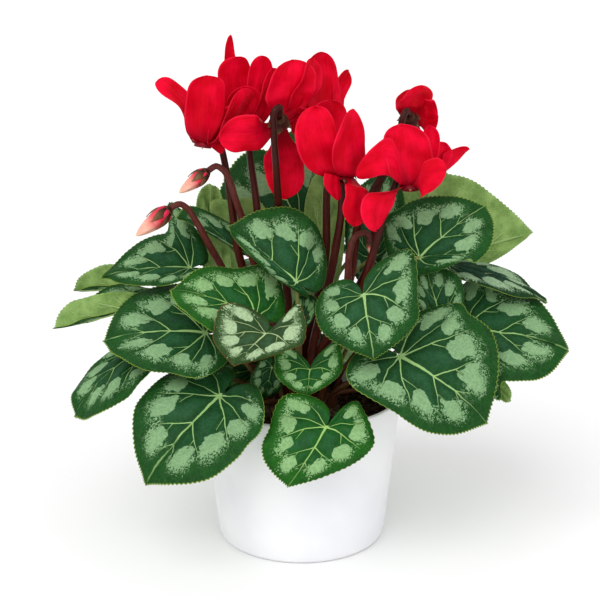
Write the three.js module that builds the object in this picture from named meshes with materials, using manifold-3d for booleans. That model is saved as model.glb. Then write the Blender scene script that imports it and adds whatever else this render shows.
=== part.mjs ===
// Potted cyclamen: plain tapered pot, compost, tuber, heart-shaped leaves on
// petioles, upright flower stems with nodding red flowers and two buds.
// Millimetres, +Z up, -Y toward the viewer, pot base centre at the origin.
import * as THREE from "three";
import { mergeVertices } from "three/addons/utils/BufferGeometryUtils.js";
import Module from "manifold-3d";

// ---- view the anchor points were read from ----
const VIEW_DISTANCE = 1000; // eye to aim point
const VIEW_ELEVATION = 17; // degrees above level
const VIEW_FOCAL = 1560; // pixels, square 600-pixel view
const AIM = new THREE.Vector3(-1, 0, 160);

// ---- pot, soil, tuber ----
const POT_HEIGHT = 98.5;
const POT_RIM_R = 65;
const POT_BASE_R = 54.5;
const POT_WALL = 2.6;
const POT_FLOOR = 3.5;
const POT_FOOT_ROUND = 4;
const RIM_BEAD = 1.3;
const SOIL_TOP = 85;
const SOIL_GAP = 0.3;
const SOIL_BUMP = 2.4;
const TUBER_R = 27;
const TUBER_HALF_HEIGHT = 15;
const TUBER_Z = 83;
const HOLE_GAP = 0.3;
const HOLE_DEPTH = 5;
const LEAD = 8; // straight stretch of a stem above the bottom of its hole

// ---- leaves ----
const BLADE = 0.7; // thickness
const PETIOLE_R = 1.55;
const STEM_SIDES = 5;
const LOBE_U = -0.24; // where the lobe anchors sit along the midrib
const MID_U = 0.28; // where the side anchors sit along the midrib
// Half outline of a heart leaf: share of half width, share of length.
const OUTLINE = [
  [0.05, -0.13],
  [0.14, -0.24],
  [0.3, -0.3],
  [0.5, -0.27],
  [0.7, -0.18],
  [0.87, -0.03],
  [0.98, 0.16],
  [1.0, 0.34],
  [0.93, 0.51],
  [0.77, 0.66],
  [0.55, 0.79],
  [0.32, 0.89],
  [0.13, 0.955],
  [0.0, 1.0],
];

const MERGE_TOLERANCE = 0.12; // slivers left by joining pieces are merged within this

const wasm = await Module();
wasm.setup();

const toRad = THREE.MathUtils.degToRad;
const V = (x, y, z) => new THREE.Vector3(x, y, z);
const TOWARD = V(0, -Math.cos(toRad(VIEW_ELEVATION)), Math.sin(toRad(VIEW_ELEVATION)));
const UPWARD = V(0, Math.sin(toRad(VIEW_ELEVATION)), Math.cos(toRad(VIEW_ELEVATION)));
const EYE = AIM.clone().addScaledVector(TOWARD, VIEW_DISTANCE);

// Point of the upright plane y = depth that shows at pixel px, py.
function at([px, py, depth]) {
  const ray = TOWARD.clone().multiplyScalar(-VIEW_FOCAL);
  ray.x += px - 300;
  ray.addScaledVector(UPWARD, 300 - py);
  return EYE.clone().addScaledVector(ray, (depth - EYE.y) / ray.y);
}

// Steady variation: the same number always gives the same wobble.
const wobble = (k) => Math.sin(k * 12.9898) * 0.5 + Math.sin(k * 4.1414 + 1.3) * 0.5;
const smooth = (x) => {
  const t = Math.min(1, Math.max(0, x));
  return t * t * (3 - 2 * t);
};

// Smooth curve through a list of number rows, t from 0 to 1.
function through(rows, t) {
  const n = rows.length - 1;
  const i = Math.min(n - 1, Math.floor(t * n));
  const f = t * n - i;
  const row = (k) => rows[Math.min(n, Math.max(0, k))];
  const [a, b, c, d] = [row(i - 1), row(i), row(i + 1), row(i + 2)];
  return b.map((_, k) => {
    const m0 = (c[k] - a[k]) / 2;
    const m1 = (d[k] - b[k]) / 2;
    const h00 = (1 + 2 * f) * (1 - f) * (1 - f);
    const h10 = f * (1 - f) * (1 - f);
    const h01 = f * f * (3 - 2 * f);
    const h11 = f * f * (f - 1);
    return h00 * b[k] + h10 * m0 + h01 * c[k] + h11 * m1;
  });
}

function solid(positions, triangles) {
  const g = new THREE.BufferGeometry();
  g.setAttribute("position", new THREE.Float32BufferAttribute(positions.flatMap((p) => [p.x, p.y, p.z]), 3));
  g.setIndex(triangles.flat());
  return fromGeometry(g);
}

function fromGeometry(geometry) {
  const g = geometry.clone();
  g.deleteAttribute("normal");
  g.deleteAttribute("uv");
  const m = mergeVertices(g, 1e-4);
  const mesh = new wasm.Mesh({
    numProp: 3,
    vertProperties: new Float32Array(m.attributes.position.array),
    triVerts: new Uint32Array(m.index.array),
  });
  const made = new wasm.Manifold(mesh);
  return made.volume() < 0 ? fromGeometry(flipped(m)) : made;
}

function flipped(g) {
  const index = [...g.index.array];
  for (let i = 0; i < index.length; i += 3) {
    [index[i + 1], index[i + 2]] = [index[i + 2], index[i + 1]];
  }
  return g.clone().setIndex(index);
}

// A join can leave a flat sliver beside the body: the body is the largest piece.
function toGeometry(manifold) {
  const pieces = manifold.simplify(MERGE_TOLERANCE).decompose();
  const m = pieces.sort((a, b) => b.volume() - a.volume())[0].getMesh();
  const g = new THREE.BufferGeometry();
  g.setAttribute("position", new THREE.BufferAttribute(new Float32Array(m.vertProperties), 3));
  g.setIndex(new THREE.BufferAttribute(new Uint32Array(m.triVerts), 1));
  g.computeVertexNormals();
  return g;
}

// Turned body from rows of radius and height.
function turned(rows, segments) {
  const profile = rows.map(([r, z]) => new THREE.Vector2(r, z));
  const g = new THREE.LatheGeometry(profile, segments);
  g.rotateX(Math.PI / 2);
  return fromGeometry(g);
}

// Point at a share of the length of a smooth path; each tangent is weighted by
// the spans beside it, so close and far points can follow one another.
function onPath(points, share) {
  const spans = points.slice(1).map((p, i) => p.distanceTo(points[i]));
  let rest = share * spans.reduce((a, b) => a + b, 0);
  let i = 0;
  while (i < spans.length - 1 && rest > spans[i]) rest -= spans[i++];
  const f = Math.min(1, rest / spans[i]);
  const tangent = (k) => {
    if (k === 0) return points[1].clone().sub(points[0]).divideScalar(spans[0]);
    const n = spans.length;
    if (k === n) return points[n].clone().sub(points[n - 1]).divideScalar(spans[n - 1]);
    const before = points[k].clone().sub(points[k - 1]).multiplyScalar(spans[k] / spans[k - 1]);
    const after = points[k + 1].clone().sub(points[k]).multiplyScalar(spans[k - 1] / spans[k]);
    return before.add(after).divideScalar(spans[k - 1] + spans[k]);
  };
  const p = points[i].clone().multiplyScalar((1 + 2 * f) * (1 - f) * (1 - f));
  p.addScaledVector(tangent(i), spans[i] * f * (1 - f) * (1 - f));
  p.addScaledVector(points[i + 1], f * f * (3 - 2 * f));
  return p.addScaledVector(tangent(i + 1), spans[i] * f * f * (f - 1));
}

// Round bar along points, with a radius for each share of its length. A lead
// keeps the first stretch straight, a hook puts more steps near the far end.
function bar(points, radiusAt, sides, steps, lead = 0, hook = false) {
  const total = points.slice(1).reduce((sum, p, i) => sum + p.distanceTo(points[i]), 0);
  const shares = lead ? [0] : [];
  const first = lead / total;
  const count = lead ? steps - 1 : steps;
  for (let i = 0; i <= count; i++) {
    const x = i / count;
    shares.push(first + (1 - first) * (hook ? (x < 0.4 ? x * 1.8 : 0.72 + ((x - 0.4) * 0.28) / 0.6) : x));
  }
  const centre = shares.map((share) => onPath(points, share));
  const positions = [];
  const triangles = [];
  let side = null;
  centre.forEach((c, i) => {
    const dir = centre[Math.min(steps, i + 1)].clone().sub(centre[Math.max(0, i - 1)]).normalize();
    if (!side) side = Math.abs(dir.x) < 0.8 ? V(1, 0, 0) : V(0, 1, 0);
    side = side.clone().addScaledVector(dir, -side.dot(dir)).normalize();
    const other = dir.clone().cross(side);
    const r = radiusAt(shares[i]);
    for (let k = 0; k < sides; k++) {
      const a = (2 * Math.PI * k) / sides;
      positions.push(c.clone().addScaledVector(side, r * Math.cos(a)).addScaledVector(other, r * Math.sin(a)));
    }
  });
  for (let i = 0; i < steps; i++) {
    for (let k = 0; k < sides; k++) {
      const a = i * sides + k;
      const b = i * sides + ((k + 1) % sides);
      triangles.push([a, b, b + sides], [a, b + sides, a + sides]);
    }
  }
  const last = steps * sides;
  for (let k = 1; k < sides - 1; k++) {
    triangles.push([0, k + 1, k], [last, last + k, last + k + 1]);
  }
  return solid(positions, triangles);
}

// A thin sheet from a grid of middle points and their normals: rows of equal
// length, the first row may be one shared point.
function sheet(middle, normals, cells, thickness) {
  const n = middle.length;
  const positions = [];
  for (const s of [0.5, -0.5]) {
    middle.forEach((p, i) => positions.push(p.clone().addScaledVector(normals[i], s * thickness)));
  }
  const triangles = [];
  const edges = new Map();
  for (const [a, b, c] of cells) {
    triangles.push([a, b, c], [a + n, c + n, b + n]);
    for (const [p, q] of [[a, b], [b, c], [c, a]]) {
      const back = q + "_" + p;
      if (edges.has(back)) edges.delete(back);
      else edges.set(p + "_" + q, [p, q]);
    }
  }
  for (const [p, q] of edges.values()) {
    triangles.push([q, p, p + n], [q, p + n, q + n]);
  }
  return solid(positions, triangles);
}

function sheetNormals(middle, cells) {
  const normals = middle.map(() => V(0, 0, 0));
  for (const [a, b, c] of cells) {
    const face = middle[b].clone().sub(middle[a]).cross(middle[c].clone().sub(middle[a]));
    for (const i of [a, b, c]) normals[i].add(face);
  }
  return normals.map((v) => v.normalize());
}

// ---- leaf blade ----
function leafFrame(leaf) {
  const heart = leaf.heart.isVector3 ? leaf.heart : at(leaf.heart);
  const tip = leaf.tip.isVector3 ? leaf.tip : at(leaf.tip);
  const mid = heart.clone().lerp(tip, MID_U);
  const back = heart.clone().lerp(tip, LOBE_U);
  const sides = [leaf.left, leaf.right].map((p) => (p.isVector3 ? p.clone() : at(p)));
  const half = sides.map((p) => p.clone().sub(mid));
  const lobes = [leaf.lobeLeft, leaf.lobeRight].map((p, k) =>
    p ? (p.isVector3 ? p.clone() : at(p)).sub(back).multiplyScalar(2) : half[k].clone(),
  );
  const along = tip.clone().sub(heart);
  const normal = half[1].clone().sub(half[0]).cross(along).normalize();
  const facing = normal.dot(EYE.clone().sub(heart)) * (leaf.face ?? 1);
  if (leaf.up ? normal.z < 0 : facing < 0) normal.negate();
  return { heart, tip, along, half, lobes, normal, length: along.length() };
}

// Point of the blade: u along the midrib, v across (-1 left edge, 1 right edge),
// edge 0 at the heart and 1 on the rim of the blade, turn the share round the rim.
function bladePoint(f, leaf, u, v, edge, turn) {
  const k = v < 0 ? 0 : 1;
  const mix = smooth((u - LOBE_U) / (MID_U - LOBE_U));
  const narrow = 1 - (leaf.taper ?? 0) * Math.max(0, u);
  const reach = f.lobes[k].clone().lerp(f.half[k], mix).multiplyScalar(Math.abs(v) * narrow);
  const twist = toRad(leaf.twist ?? 0) * smooth((u - 0.6) / 0.4);
  if (twist) reach.applyAxisAngle(f.along.clone().normalize(), twist);
  const p = f.heart.clone().addScaledVector(f.along, u).add(reach);
  const bow = leaf.bow ?? 4;
  const cup = leaf.cup ?? 0;
  const waves = leaf.waves ?? 3;
  const wave = (leaf.wave ?? 1.2) * edge * edge;
  const phase = (leaf.seed ?? 0) * 1.7 + k * 2.1;
  let lift = bow * (1 - (2 * u - 1) * (2 * u - 1)) * (1 - 0.3 * Math.abs(v));
  if (u < 0) lift = bow * 4 * u * 0.7;
  lift += cup * v * v;
  lift += wave * Math.sin(2 * Math.PI * waves * turn + phase);
  lift -= (leaf.droop ?? 0) * smooth((u - 0.55) / 0.45) ** 2;
  return p.addScaledVector(f.normal, lift);
}

function bladeSolid(leaf) {
  const f = leafFrame(leaf);
  const around = leaf.around ?? 9;
  const rings = leaf.rings ?? 2;
  const middle = [f.heart.clone()];
  const cells = [];
  const index = (side, ring, j) => {
    if (ring === 0) return 0;
    if (j === around) return 1 + (ring - 1);
    return 1 + rings + side * rings * around + (ring - 1) * around + j;
  };
  for (let ring = 1; ring <= rings; ring++) {
    const s = ring / rings;
    middle[index(0, ring, around)] = bladePoint(f, leaf, s, 0, s, 1);
  }
  for (const side of [0, 1]) {
    for (let ring = 1; ring <= rings; ring++) {
      for (let j = 0; j < around; j++) {
        const turn = j / around;
        const [w, u] = through(OUTLINE, turn);
        const tooth = ring === rings ? 1 + (j % 2 ? 0.012 : -0.012) : 1;
        const s = (ring / rings) * tooth;
        const v = (side ? 1 : -1) * w * s;
        middle[index(side, ring, j)] = bladePoint(f, leaf, u * s, v, s, turn);
      }
      for (let j = 0; j < around; j++) {
        const a = index(side, ring - 1, j);
        const b = index(side, ring - 1, j + 1);
        const c = index(side, ring, j + 1);
        const d = index(side, ring, j);
        const quad = ring === 1 ? [[a, c, d]] : [[a, b, c], [a, c, d]];
        for (const [p, q, r] of quad) cells.push(side ? [p, r, q] : [p, q, r]);
      }
    }
  }
  const normals = sheetNormals(middle, cells);
  return { frame: f, made: sheet(middle, normals, cells, leaf.thick ?? BLADE) };
}

function petiolePoints(leaf, f) {
  const foot = footPoint(leaf.foot);
  const end = f.heart.clone().addScaledVector(f.normal, -0.3).addScaledVector(f.along, 0.03);
  const out = end.clone().sub(foot);
  const span = out.length();
  const level = V(out.x, out.y, 0);
  const points = footing(foot);
  if (leaf.via) leaf.via.forEach((p) => points.push(p.isVector3 ? p : at(p)));
  else {
    points.push(foot.clone().addScaledVector(level, 0.28).add(V(0, 0, Math.max(9, out.z * 0.5))));
    points.push(foot.clone().addScaledVector(level, 0.66).add(V(0, 0, out.z * 0.86 + span * 0.02)));
  }
  points.push(end);
  return points;
}

function footPoint([azimuth, radius]) {
  const a = toRad(azimuth);
  const z = TUBER_Z + TUBER_HALF_HEIGHT * Math.sqrt(1 - (radius / TUBER_R) ** 2) - HOLE_DEPTH;
  return V(radius * Math.cos(a), radius * Math.sin(a), z + HOLE_GAP);
}

// A stem leaves its hole straight up before it bends.
function footing(foot) {
  return [foot, foot.clone().add(V(0, 0, LEAD / 2)), foot.clone().add(V(0, 0, LEAD))];
}

const feet = [];
function leafSolid(leaf) {
  const { frame, made } = bladeSolid(leaf);
  const points = petiolePoints(leaf, frame);
  const r = leaf.stalk ?? PETIOLE_R;
  const steps = leaf.steps ?? 7;
  feet.push([points[0], r]);
  return made.add(bar(points, (t) => r * (1 - 0.18 * t), STEM_SIDES, steps, LEAD));
}

// ---- flowers ----
const CUP_R = 5.5;
const CUP_LENGTH = 6;
const PETAL = 0.7;
const PETAL_ROLL = 6; // one edge comes forward by this and the other goes back
const PETAL_U = 0.58; // where the side anchors sit along a petal
const PETAL_WIDTH = [[0.95], [1], [1.06], [1.08], [1.05], [0.98], [0.82], [0.38]];
const CALYX_R = 4.2;

function petalPoints(petal, cup) {
  const tip = at(petal.tip);
  const roll = petal.roll ?? PETAL_ROLL;
  const a = at([petal.a[0], petal.a[1], petal.a[2] - roll]);
  const b = at([petal.b[0], petal.b[1], petal.b[2] + roll]);
  const mid = a.clone().lerp(b, 0.5);
  const away = mid.clone().sub(cup.centre);
  away.addScaledVector(cup.axis, -away.dot(cup.axis)).normalize();
  if (petal.side) away.applyAxisAngle(cup.axis, toRad(petal.side));
  const root = cup.centre.clone().addScaledVector(away, CUP_R - 0.9);
  const half = b.clone().sub(a).multiplyScalar(0.5);
  const tangent = cup.axis.clone().cross(away).normalize();
  if (tangent.dot(half) < 0) tangent.negate();
  return { tip, mid, root, half, tangent, away, axis: cup.axis };
}

// Point of a petal: t from the cup to the tip, s across from -1 to 1.
function petalPoint(q, petal, t, s) {
  const out = 1 - smooth(t / PETAL_U);
  const centre = V(...curve3(q.root, q.mid, q.tip, PETAL_U, t));
  centre.addScaledVector(q.away, 1.8 * Math.sin(Math.PI * Math.min(1, t / 0.4)));
  centre.addScaledVector(q.axis, (petal.lip ?? 2.5) * Math.sin(Math.PI * Math.min(1, t / 0.3)) * (t < 0.3 ? 1 : 0));
  const across = q.half.clone().lerp(q.tangent.clone().multiplyScalar(CUP_R * 0.85), out ** 4);
  const w = through(PETAL_WIDTH, t)[0] * (1 - (petal.taper ?? 0) * Math.max(0, t - 0.4));
  const normal = q.tip.clone().sub(q.root).cross(q.half).normalize();
  const p = centre.addScaledVector(across, s * w);
  p.addScaledVector(normal, (petal.cup ?? 2) * (1 - s * s) * Math.sin(Math.PI * Math.min(1, t)));
  return p;
}

function curve3(a, m, b, tm, t) {
  const la = ((t - tm) * (t - 1)) / (tm * 1);
  const lm = (t * (t - 1)) / (tm * (tm - 1));
  const lb = (t * (t - tm)) / (1 - tm);
  return [0, 1, 2].map((k) => a.getComponent(k) * la + m.getComponent(k) * lm + b.getComponent(k) * lb);
}

function petalSolid(petal, cup) {
  const q = petalPoints(petal, cup);
  const long = 5;
  const wide = 2;
  const middle = [];
  const cells = [];
  for (let i = 0; i <= long; i++) {
    for (let j = 0; j <= wide; j++) {
      middle.push(petalPoint(q, petal, i / long, (2 * j) / wide - 1));
    }
  }
  for (let i = 0; i < long; i++) {
    for (let j = 0; j < wide; j++) {
      const a = i * (wide + 1) + j;
      const b = a + 1;
      const c = b + wide + 1;
      const d = a + wide + 1;
      cells.push([a, b, c], [a, c, d]);
    }
  }
  return sheet(middle, sheetNormals(middle, cells), cells, PETAL);
}

function cupOf(bloom) {
  const calyx = at(bloom.calyx);
  const axis = V(...bloom.axis).normalize();
  return { calyx, axis, centre: calyx.clone().addScaledVector(axis, CUP_LENGTH * 0.7 + 0.3) };
}

function bloomSolid(bloom) {
  const cup = cupOf(bloom);
  const rows = [[0, 0.3], [CUP_R * 0.75, 0.3], [CUP_R, 2.2], [CUP_R, CUP_LENGTH], [0, CUP_LENGTH]];
  const turn = new THREE.Quaternion().setFromUnitVectors(V(0, 0, 1), cup.axis);
  const g = new THREE.LatheGeometry(rows.map(([r, z]) => new THREE.Vector2(r, z)), 8);
  g.rotateX(Math.PI / 2);
  g.applyQuaternion(turn);
  g.translate(cup.calyx.x, cup.calyx.y, cup.calyx.z);
  let made = fromGeometry(g);
  for (const petal of bloom.petals) made = made.add(petalSolid(petal, cup));
  return made;
}

const SCAPE_FOOT = 1.75;
const SCAPE_R = 2.7;
const SCAPE_TOP = 2;
const SCAPE_STEPS = 13;
// A flower stem is slim in its hole, thickest at a quarter of its length and thins to its flower.
function scapeRadius(share) {
  const low = SCAPE_FOOT + (SCAPE_R - SCAPE_FOOT) * smooth(share / 0.25);
  return low - (SCAPE_R - SCAPE_TOP) * smooth((share - 0.4) / 0.6);
}
function stemSolid(stem) {
  const bloom = stem.bloom;
  const calyx = at(bloom.calyx);
  const axis = V(...bloom.axis).normalize();
  const foot = footPoint(stem.foot);
  const points = footing(foot);
  stem.via.forEach((p) => points.push(at(p)));
  points.push(calyx.clone().addScaledVector(axis, -CALYX_R));
  feet.push([foot, SCAPE_FOOT]);
  const stalk = bar(points, scapeRadius, STEM_SIDES, SCAPE_STEPS, LEAD, true);
  const rows = [[0, -CALYX_R - 0.4], [CALYX_R * 0.55, -CALYX_R], [CALYX_R, -1.4], [CALYX_R * 0.95, 0], [0, 0]];
  const g = new THREE.LatheGeometry(rows.map(([r, z]) => new THREE.Vector2(r, z)), 8);
  g.rotateX(Math.PI / 2);
  g.applyQuaternion(new THREE.Quaternion().setFromUnitVectors(V(0, 0, 1), axis));
  g.translate(calyx.x, calyx.y, calyx.z);
  return stalk.add(fromGeometry(g));
}

// Anchor points are pixels of the view and the depth (y) in millimetres.
const LEAVES = {
  leaf_01_front_left: {
    heart: [220, 397, -48], tip: [145, 484, -80], left: [158, 386, -40], right: [242, 450, -86],
    lobeLeft: [206, 364, -28], lobeRight: [258, 400, -72], foot: [222, 22], bow: 5, seed: 1, taper: -0.2,
  },
  leaf_02_front_centre: {
    heart: [326, 428, -75], tip: [288, 487, -92], left: [267, 434, -78], right: [373, 446, -76],
    lobeLeft: [304, 397, -63], lobeRight: [354, 403, -64], foot: [287, 22], bow: 4, seed: 2,
  },
  leaf_03_left: {
    heart: [206, 334, -30], tip: [103, 341, -36], left: [160, 288, 2], right: [166, 375, -54],
    lobeLeft: [212, 300, -6], lobeRight: [218, 360, -50], foot: [205, 22], bow: 6, seed: 3, taper: 0.08,
  },
  leaf_04_mid_left: {
    heart: [256, 318, -42], tip: [170, 290, -38], left: [232, 265, -14], right: [206, 332, -58], taper: 0.3,
    lobeLeft: [282, 288, -20], lobeRight: [262, 334, -48], foot: [212, 15], bow: 5, seed: 4,
  },
  leaf_05_upper_left: {
    heart: [190, 268, 6], tip: [101, 277, -8], left: [163, 230, 26], right: [152, 290, -14],
    lobeLeft: [189, 220, 34], lobeRight: [200, 272, -6], foot: [172, 15], bow: 4, seed: 5, taper: 0.4,
  },
  leaf_06_far_left: {
    heart: [156, 300, 8], tip: [86, 309, 3], left: [118, 286, 17], right: [124, 308, 0],
    foot: [178, 22], bow: 2, seed: 6, around: 8,
  },
  leaf_07_low_left: {
    heart: [142, 350, -18], tip: [74, 416, -46], left: [99, 364, -16], right: [127, 397, -54], taper: -0.08,
    foot: [190, 22], bow: 5, seed: 7,
  },
  leaf_08_small_centre: {
    heart: [266, 334, -64], tip: [234, 366, -72], left: [206, 331, -61], right: [309, 345, -70],
    lobeLeft: [246, 308, -56], lobeRight: [292, 308, -60], foot: [256, 22], bow: 2, seed: 8,
    around: 12, stalk: 1.3, taper: 0.5,
  },
  leaf_09_upper_centre: {
    heart: [296, 282, -34], tip: [228, 226, -16], left: [262, 268, -30], right: [308, 218, -10],
    lobeLeft: [288, 284, -34], lobeRight: [324, 262, -18], foot: [270, 15], bow: 4, seed: 9,
  },
  leaf_10_centre_right: {
    heart: [363, 296, -52], tip: [374, 359, -72], left: [316, 318, -58], right: [418, 306, -54],
    lobeLeft: [334, 284, -44], lobeRight: [394, 254, -34], foot: [304, 22], bow: 5, seed: 10,
  },
  leaf_11_front_right: {
    heart: [401, 357, -50], tip: [487, 423, -68], left: [468, 322, -26], right: [402, 414, -76],
    lobeLeft: [426, 310, -26], lobeRight: [354, 364, -62], foot: [320, 22], bow: 6, seed: 11, taper: -0.28,
  },
  leaf_12_far_right: {
    heart: [462, 330, -8], tip: [569, 349, -22], left: [508, 289, 20], right: [507, 385, -40],
    lobeLeft: [462, 286, 16], lobeRight: [470, 372, -34], foot: [350, 22], taper: 0.1, bow: 5, seed: 12,
  },
  leaf_13_right_folded: {
    heart: [448, 265, 8], tip: [548, 302, 2], left: [498, 268, 20], right: [488, 291, -6],
    foot: [6, 22], bow: 4, seed: 13, around: 8, taper: 0.35,
  },
  leaf_14_upper_right: {
    heart: [420, 258, -14], tip: [486, 205, -6], left: [404, 208, 10], right: [478, 261, -28],
    lobeLeft: [386, 240, 4], lobeRight: [440, 265, -26], foot: [340, 15], bow: 4, seed: 14,
  },
  leaf_15_back_right: {
    heart: [430, 258, 24], tip: [532, 233, 30], left: [452, 164, 44], right: [479, 270, 14],
    lobeLeft: [400, 194, 40], foot: [25, 15], bow: 3, seed: 15, face: -1, taper: 0.45,
  },
  leaf_16_back_centre: {
    heart: [300, 235, 44], tip: [214, 209, 50], left: [268, 152, 64], right: [252, 258, 40], lobeLeft: [317, 164, 60],
    foot: [88, 15], bow: 4, seed: 16,
  },
  leaf_17_bud_left: {
    heart: [210, 242, 39], tip: [211, 184, 38], left: [196, 210, 38], right: [224, 214, 37],
    foot: [134, 15], bow: 2, seed: 17, face: -1, around: 8,
  },
  leaf_18_bud_right: {
    heart: [240, 245, 26], tip: [228, 200, 30], left: [211, 214, 27], right: [266, 212, 30],
    foot: [118, 15], bow: 2, seed: 18, face: -1, around: 8,
  },
  leaf_19_narrow_dark: {
    heart: [252, 256, 18], tip: [177, 218, 18], left: [214, 214, 24], right: [205, 232, 16],
    foot: [128, 10], bow: 3, seed: 19, around: 8,
  },
  leaf_20_small_low: {
    heart: [310, 370, -50], tip: [306, 397, -58], left: [275, 370, -54], right: [342, 369, -50],
    lobeLeft: [290, 348, -47], lobeRight: [329, 346, -45], foot: [272, 22], bow: 2, seed: 20,
    around: 8,
  },
  leaf_21_tiny: {
    heart: [301, 324, -18], tip: [304, 295, -14], left: [292, 308, -16], right: [317, 305, -16],
    foot: [252, 15], bow: 1, seed: 21, around: 8, stalk: 1.2,
  },
  leaf_22_dark_right: {
    heart: [440, 318, -12], tip: [426, 268, -6], left: [412, 292, -8], right: [463, 286, -6],
    foot: [358, 15], bow: 2, seed: 22, around: 8,
  },
  leaf_23_dark_low: {
    heart: [272, 367, -24], tip: [264, 398, -22], left: [251, 378, -23], right: [283, 382, -23],
    foot: [239, 22], bow: 3, seed: 23, around: 8,
  },
  leaf_24_pale_right: {
    heart: [474, 364, -14], tip: [510, 401, -22], left: [499, 374, -16], right: [489, 390, -22],
    foot: [336, 22], bow: 1, seed: 24, face: -1, around: 8,
  },
  leaf_27_curled_upper: {
    heart: [134, 286, 21], tip: [74, 291, 14], left: [106, 266, 26], right: [113, 284, 17], taper: -0.1,
    foot: [163, 22], bow: 2, seed: 27, face: -1, around: 8,
  },
  leaf_28_curled_lower: {
    heart: [126, 310, -9], tip: [54, 330, -14], left: [92, 297, -4], right: [100, 315, -12], taper: -0.3,
    foot: [192, 16], bow: 2, seed: 28, face: -1, around: 8,
  },
  leaf_29_inner_left: {
    heart: [252, 370, 20], tip: [214, 378, 16], left: [240, 352, 25], right: [236, 392, 13],
    foot: [146, 22], bow: 2, seed: 29, around: 8, stalk: 1.3,
  },
  leaf_30_behind_stems: {
    heart: [373, 258, 18], tip: [379, 171, 40], left: [345, 226, 32], right: [405, 212, 25],
    foot: [58, 22], bow: 3, seed: 30, around: 8,
  },
  leaf_25_pale_left: {
    heart: [230, 284, 23], tip: [204, 230, 31], left: [197, 256, 31], right: [234, 250, 24],
    foot: [150, 15], bow: 2, seed: 25, face: -1, around: 8,
  },
  leaf_26_pale_upright: {
    heart: [322, 276, 21], tip: [322, 168, 36], left: [304, 226, 28], right: [345, 226, 28],
    foot: [60, 15], bow: 2, seed: 26, face: -1, around: 8,
  },
};

// Leaves at the back: azimuth, heart radius and height, length, width, fall, roll.
const BACK = [
  ["leaf_31_back_low", 36, 56, 134, 58, 62, 40, 6, [40, 22]],
  ["leaf_32_back_low", 70, 60, 112, 64, 68, 48, 6, [70, 22]],
  ["leaf_33_back_low", 92, 60, 152, 62, 66, 38, 6, [100, 22]],
  ["leaf_34_back_low", 140, 60, 120, 62, 66, 46, 6, [128, 22]],
  ["leaf_35_back_high", 55, 63, 179, 62, 66, 33, 6, [75, 15]],
  ["leaf_36_back_high", 119, 66, 169, 62, 66, 28, -6, [103, 15]],
];
for (const [name, azimuth, r, z, length, width, fall, roll, foot] of BACK) {
  const [a, p] = [toRad(azimuth), toRad(fall)];
  const out = V(Math.cos(a) * Math.cos(p), Math.sin(a) * Math.cos(p), -Math.sin(p));
  const side = V(-Math.sin(a), Math.cos(a), 0).applyAxisAngle(out, toRad(roll));
  const heart = V(r * Math.cos(a), r * Math.sin(a), z);
  const mid = heart.clone().addScaledVector(out, length * MID_U);
  LEAVES[name] = {
    heart, tip: heart.clone().addScaledVector(out, length), foot, bow: 6, seed: azimuth, up: true,
    left: mid.clone().addScaledVector(side, width / 2), right: mid.clone().addScaledVector(side, -width / 2),
  };
}

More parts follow.
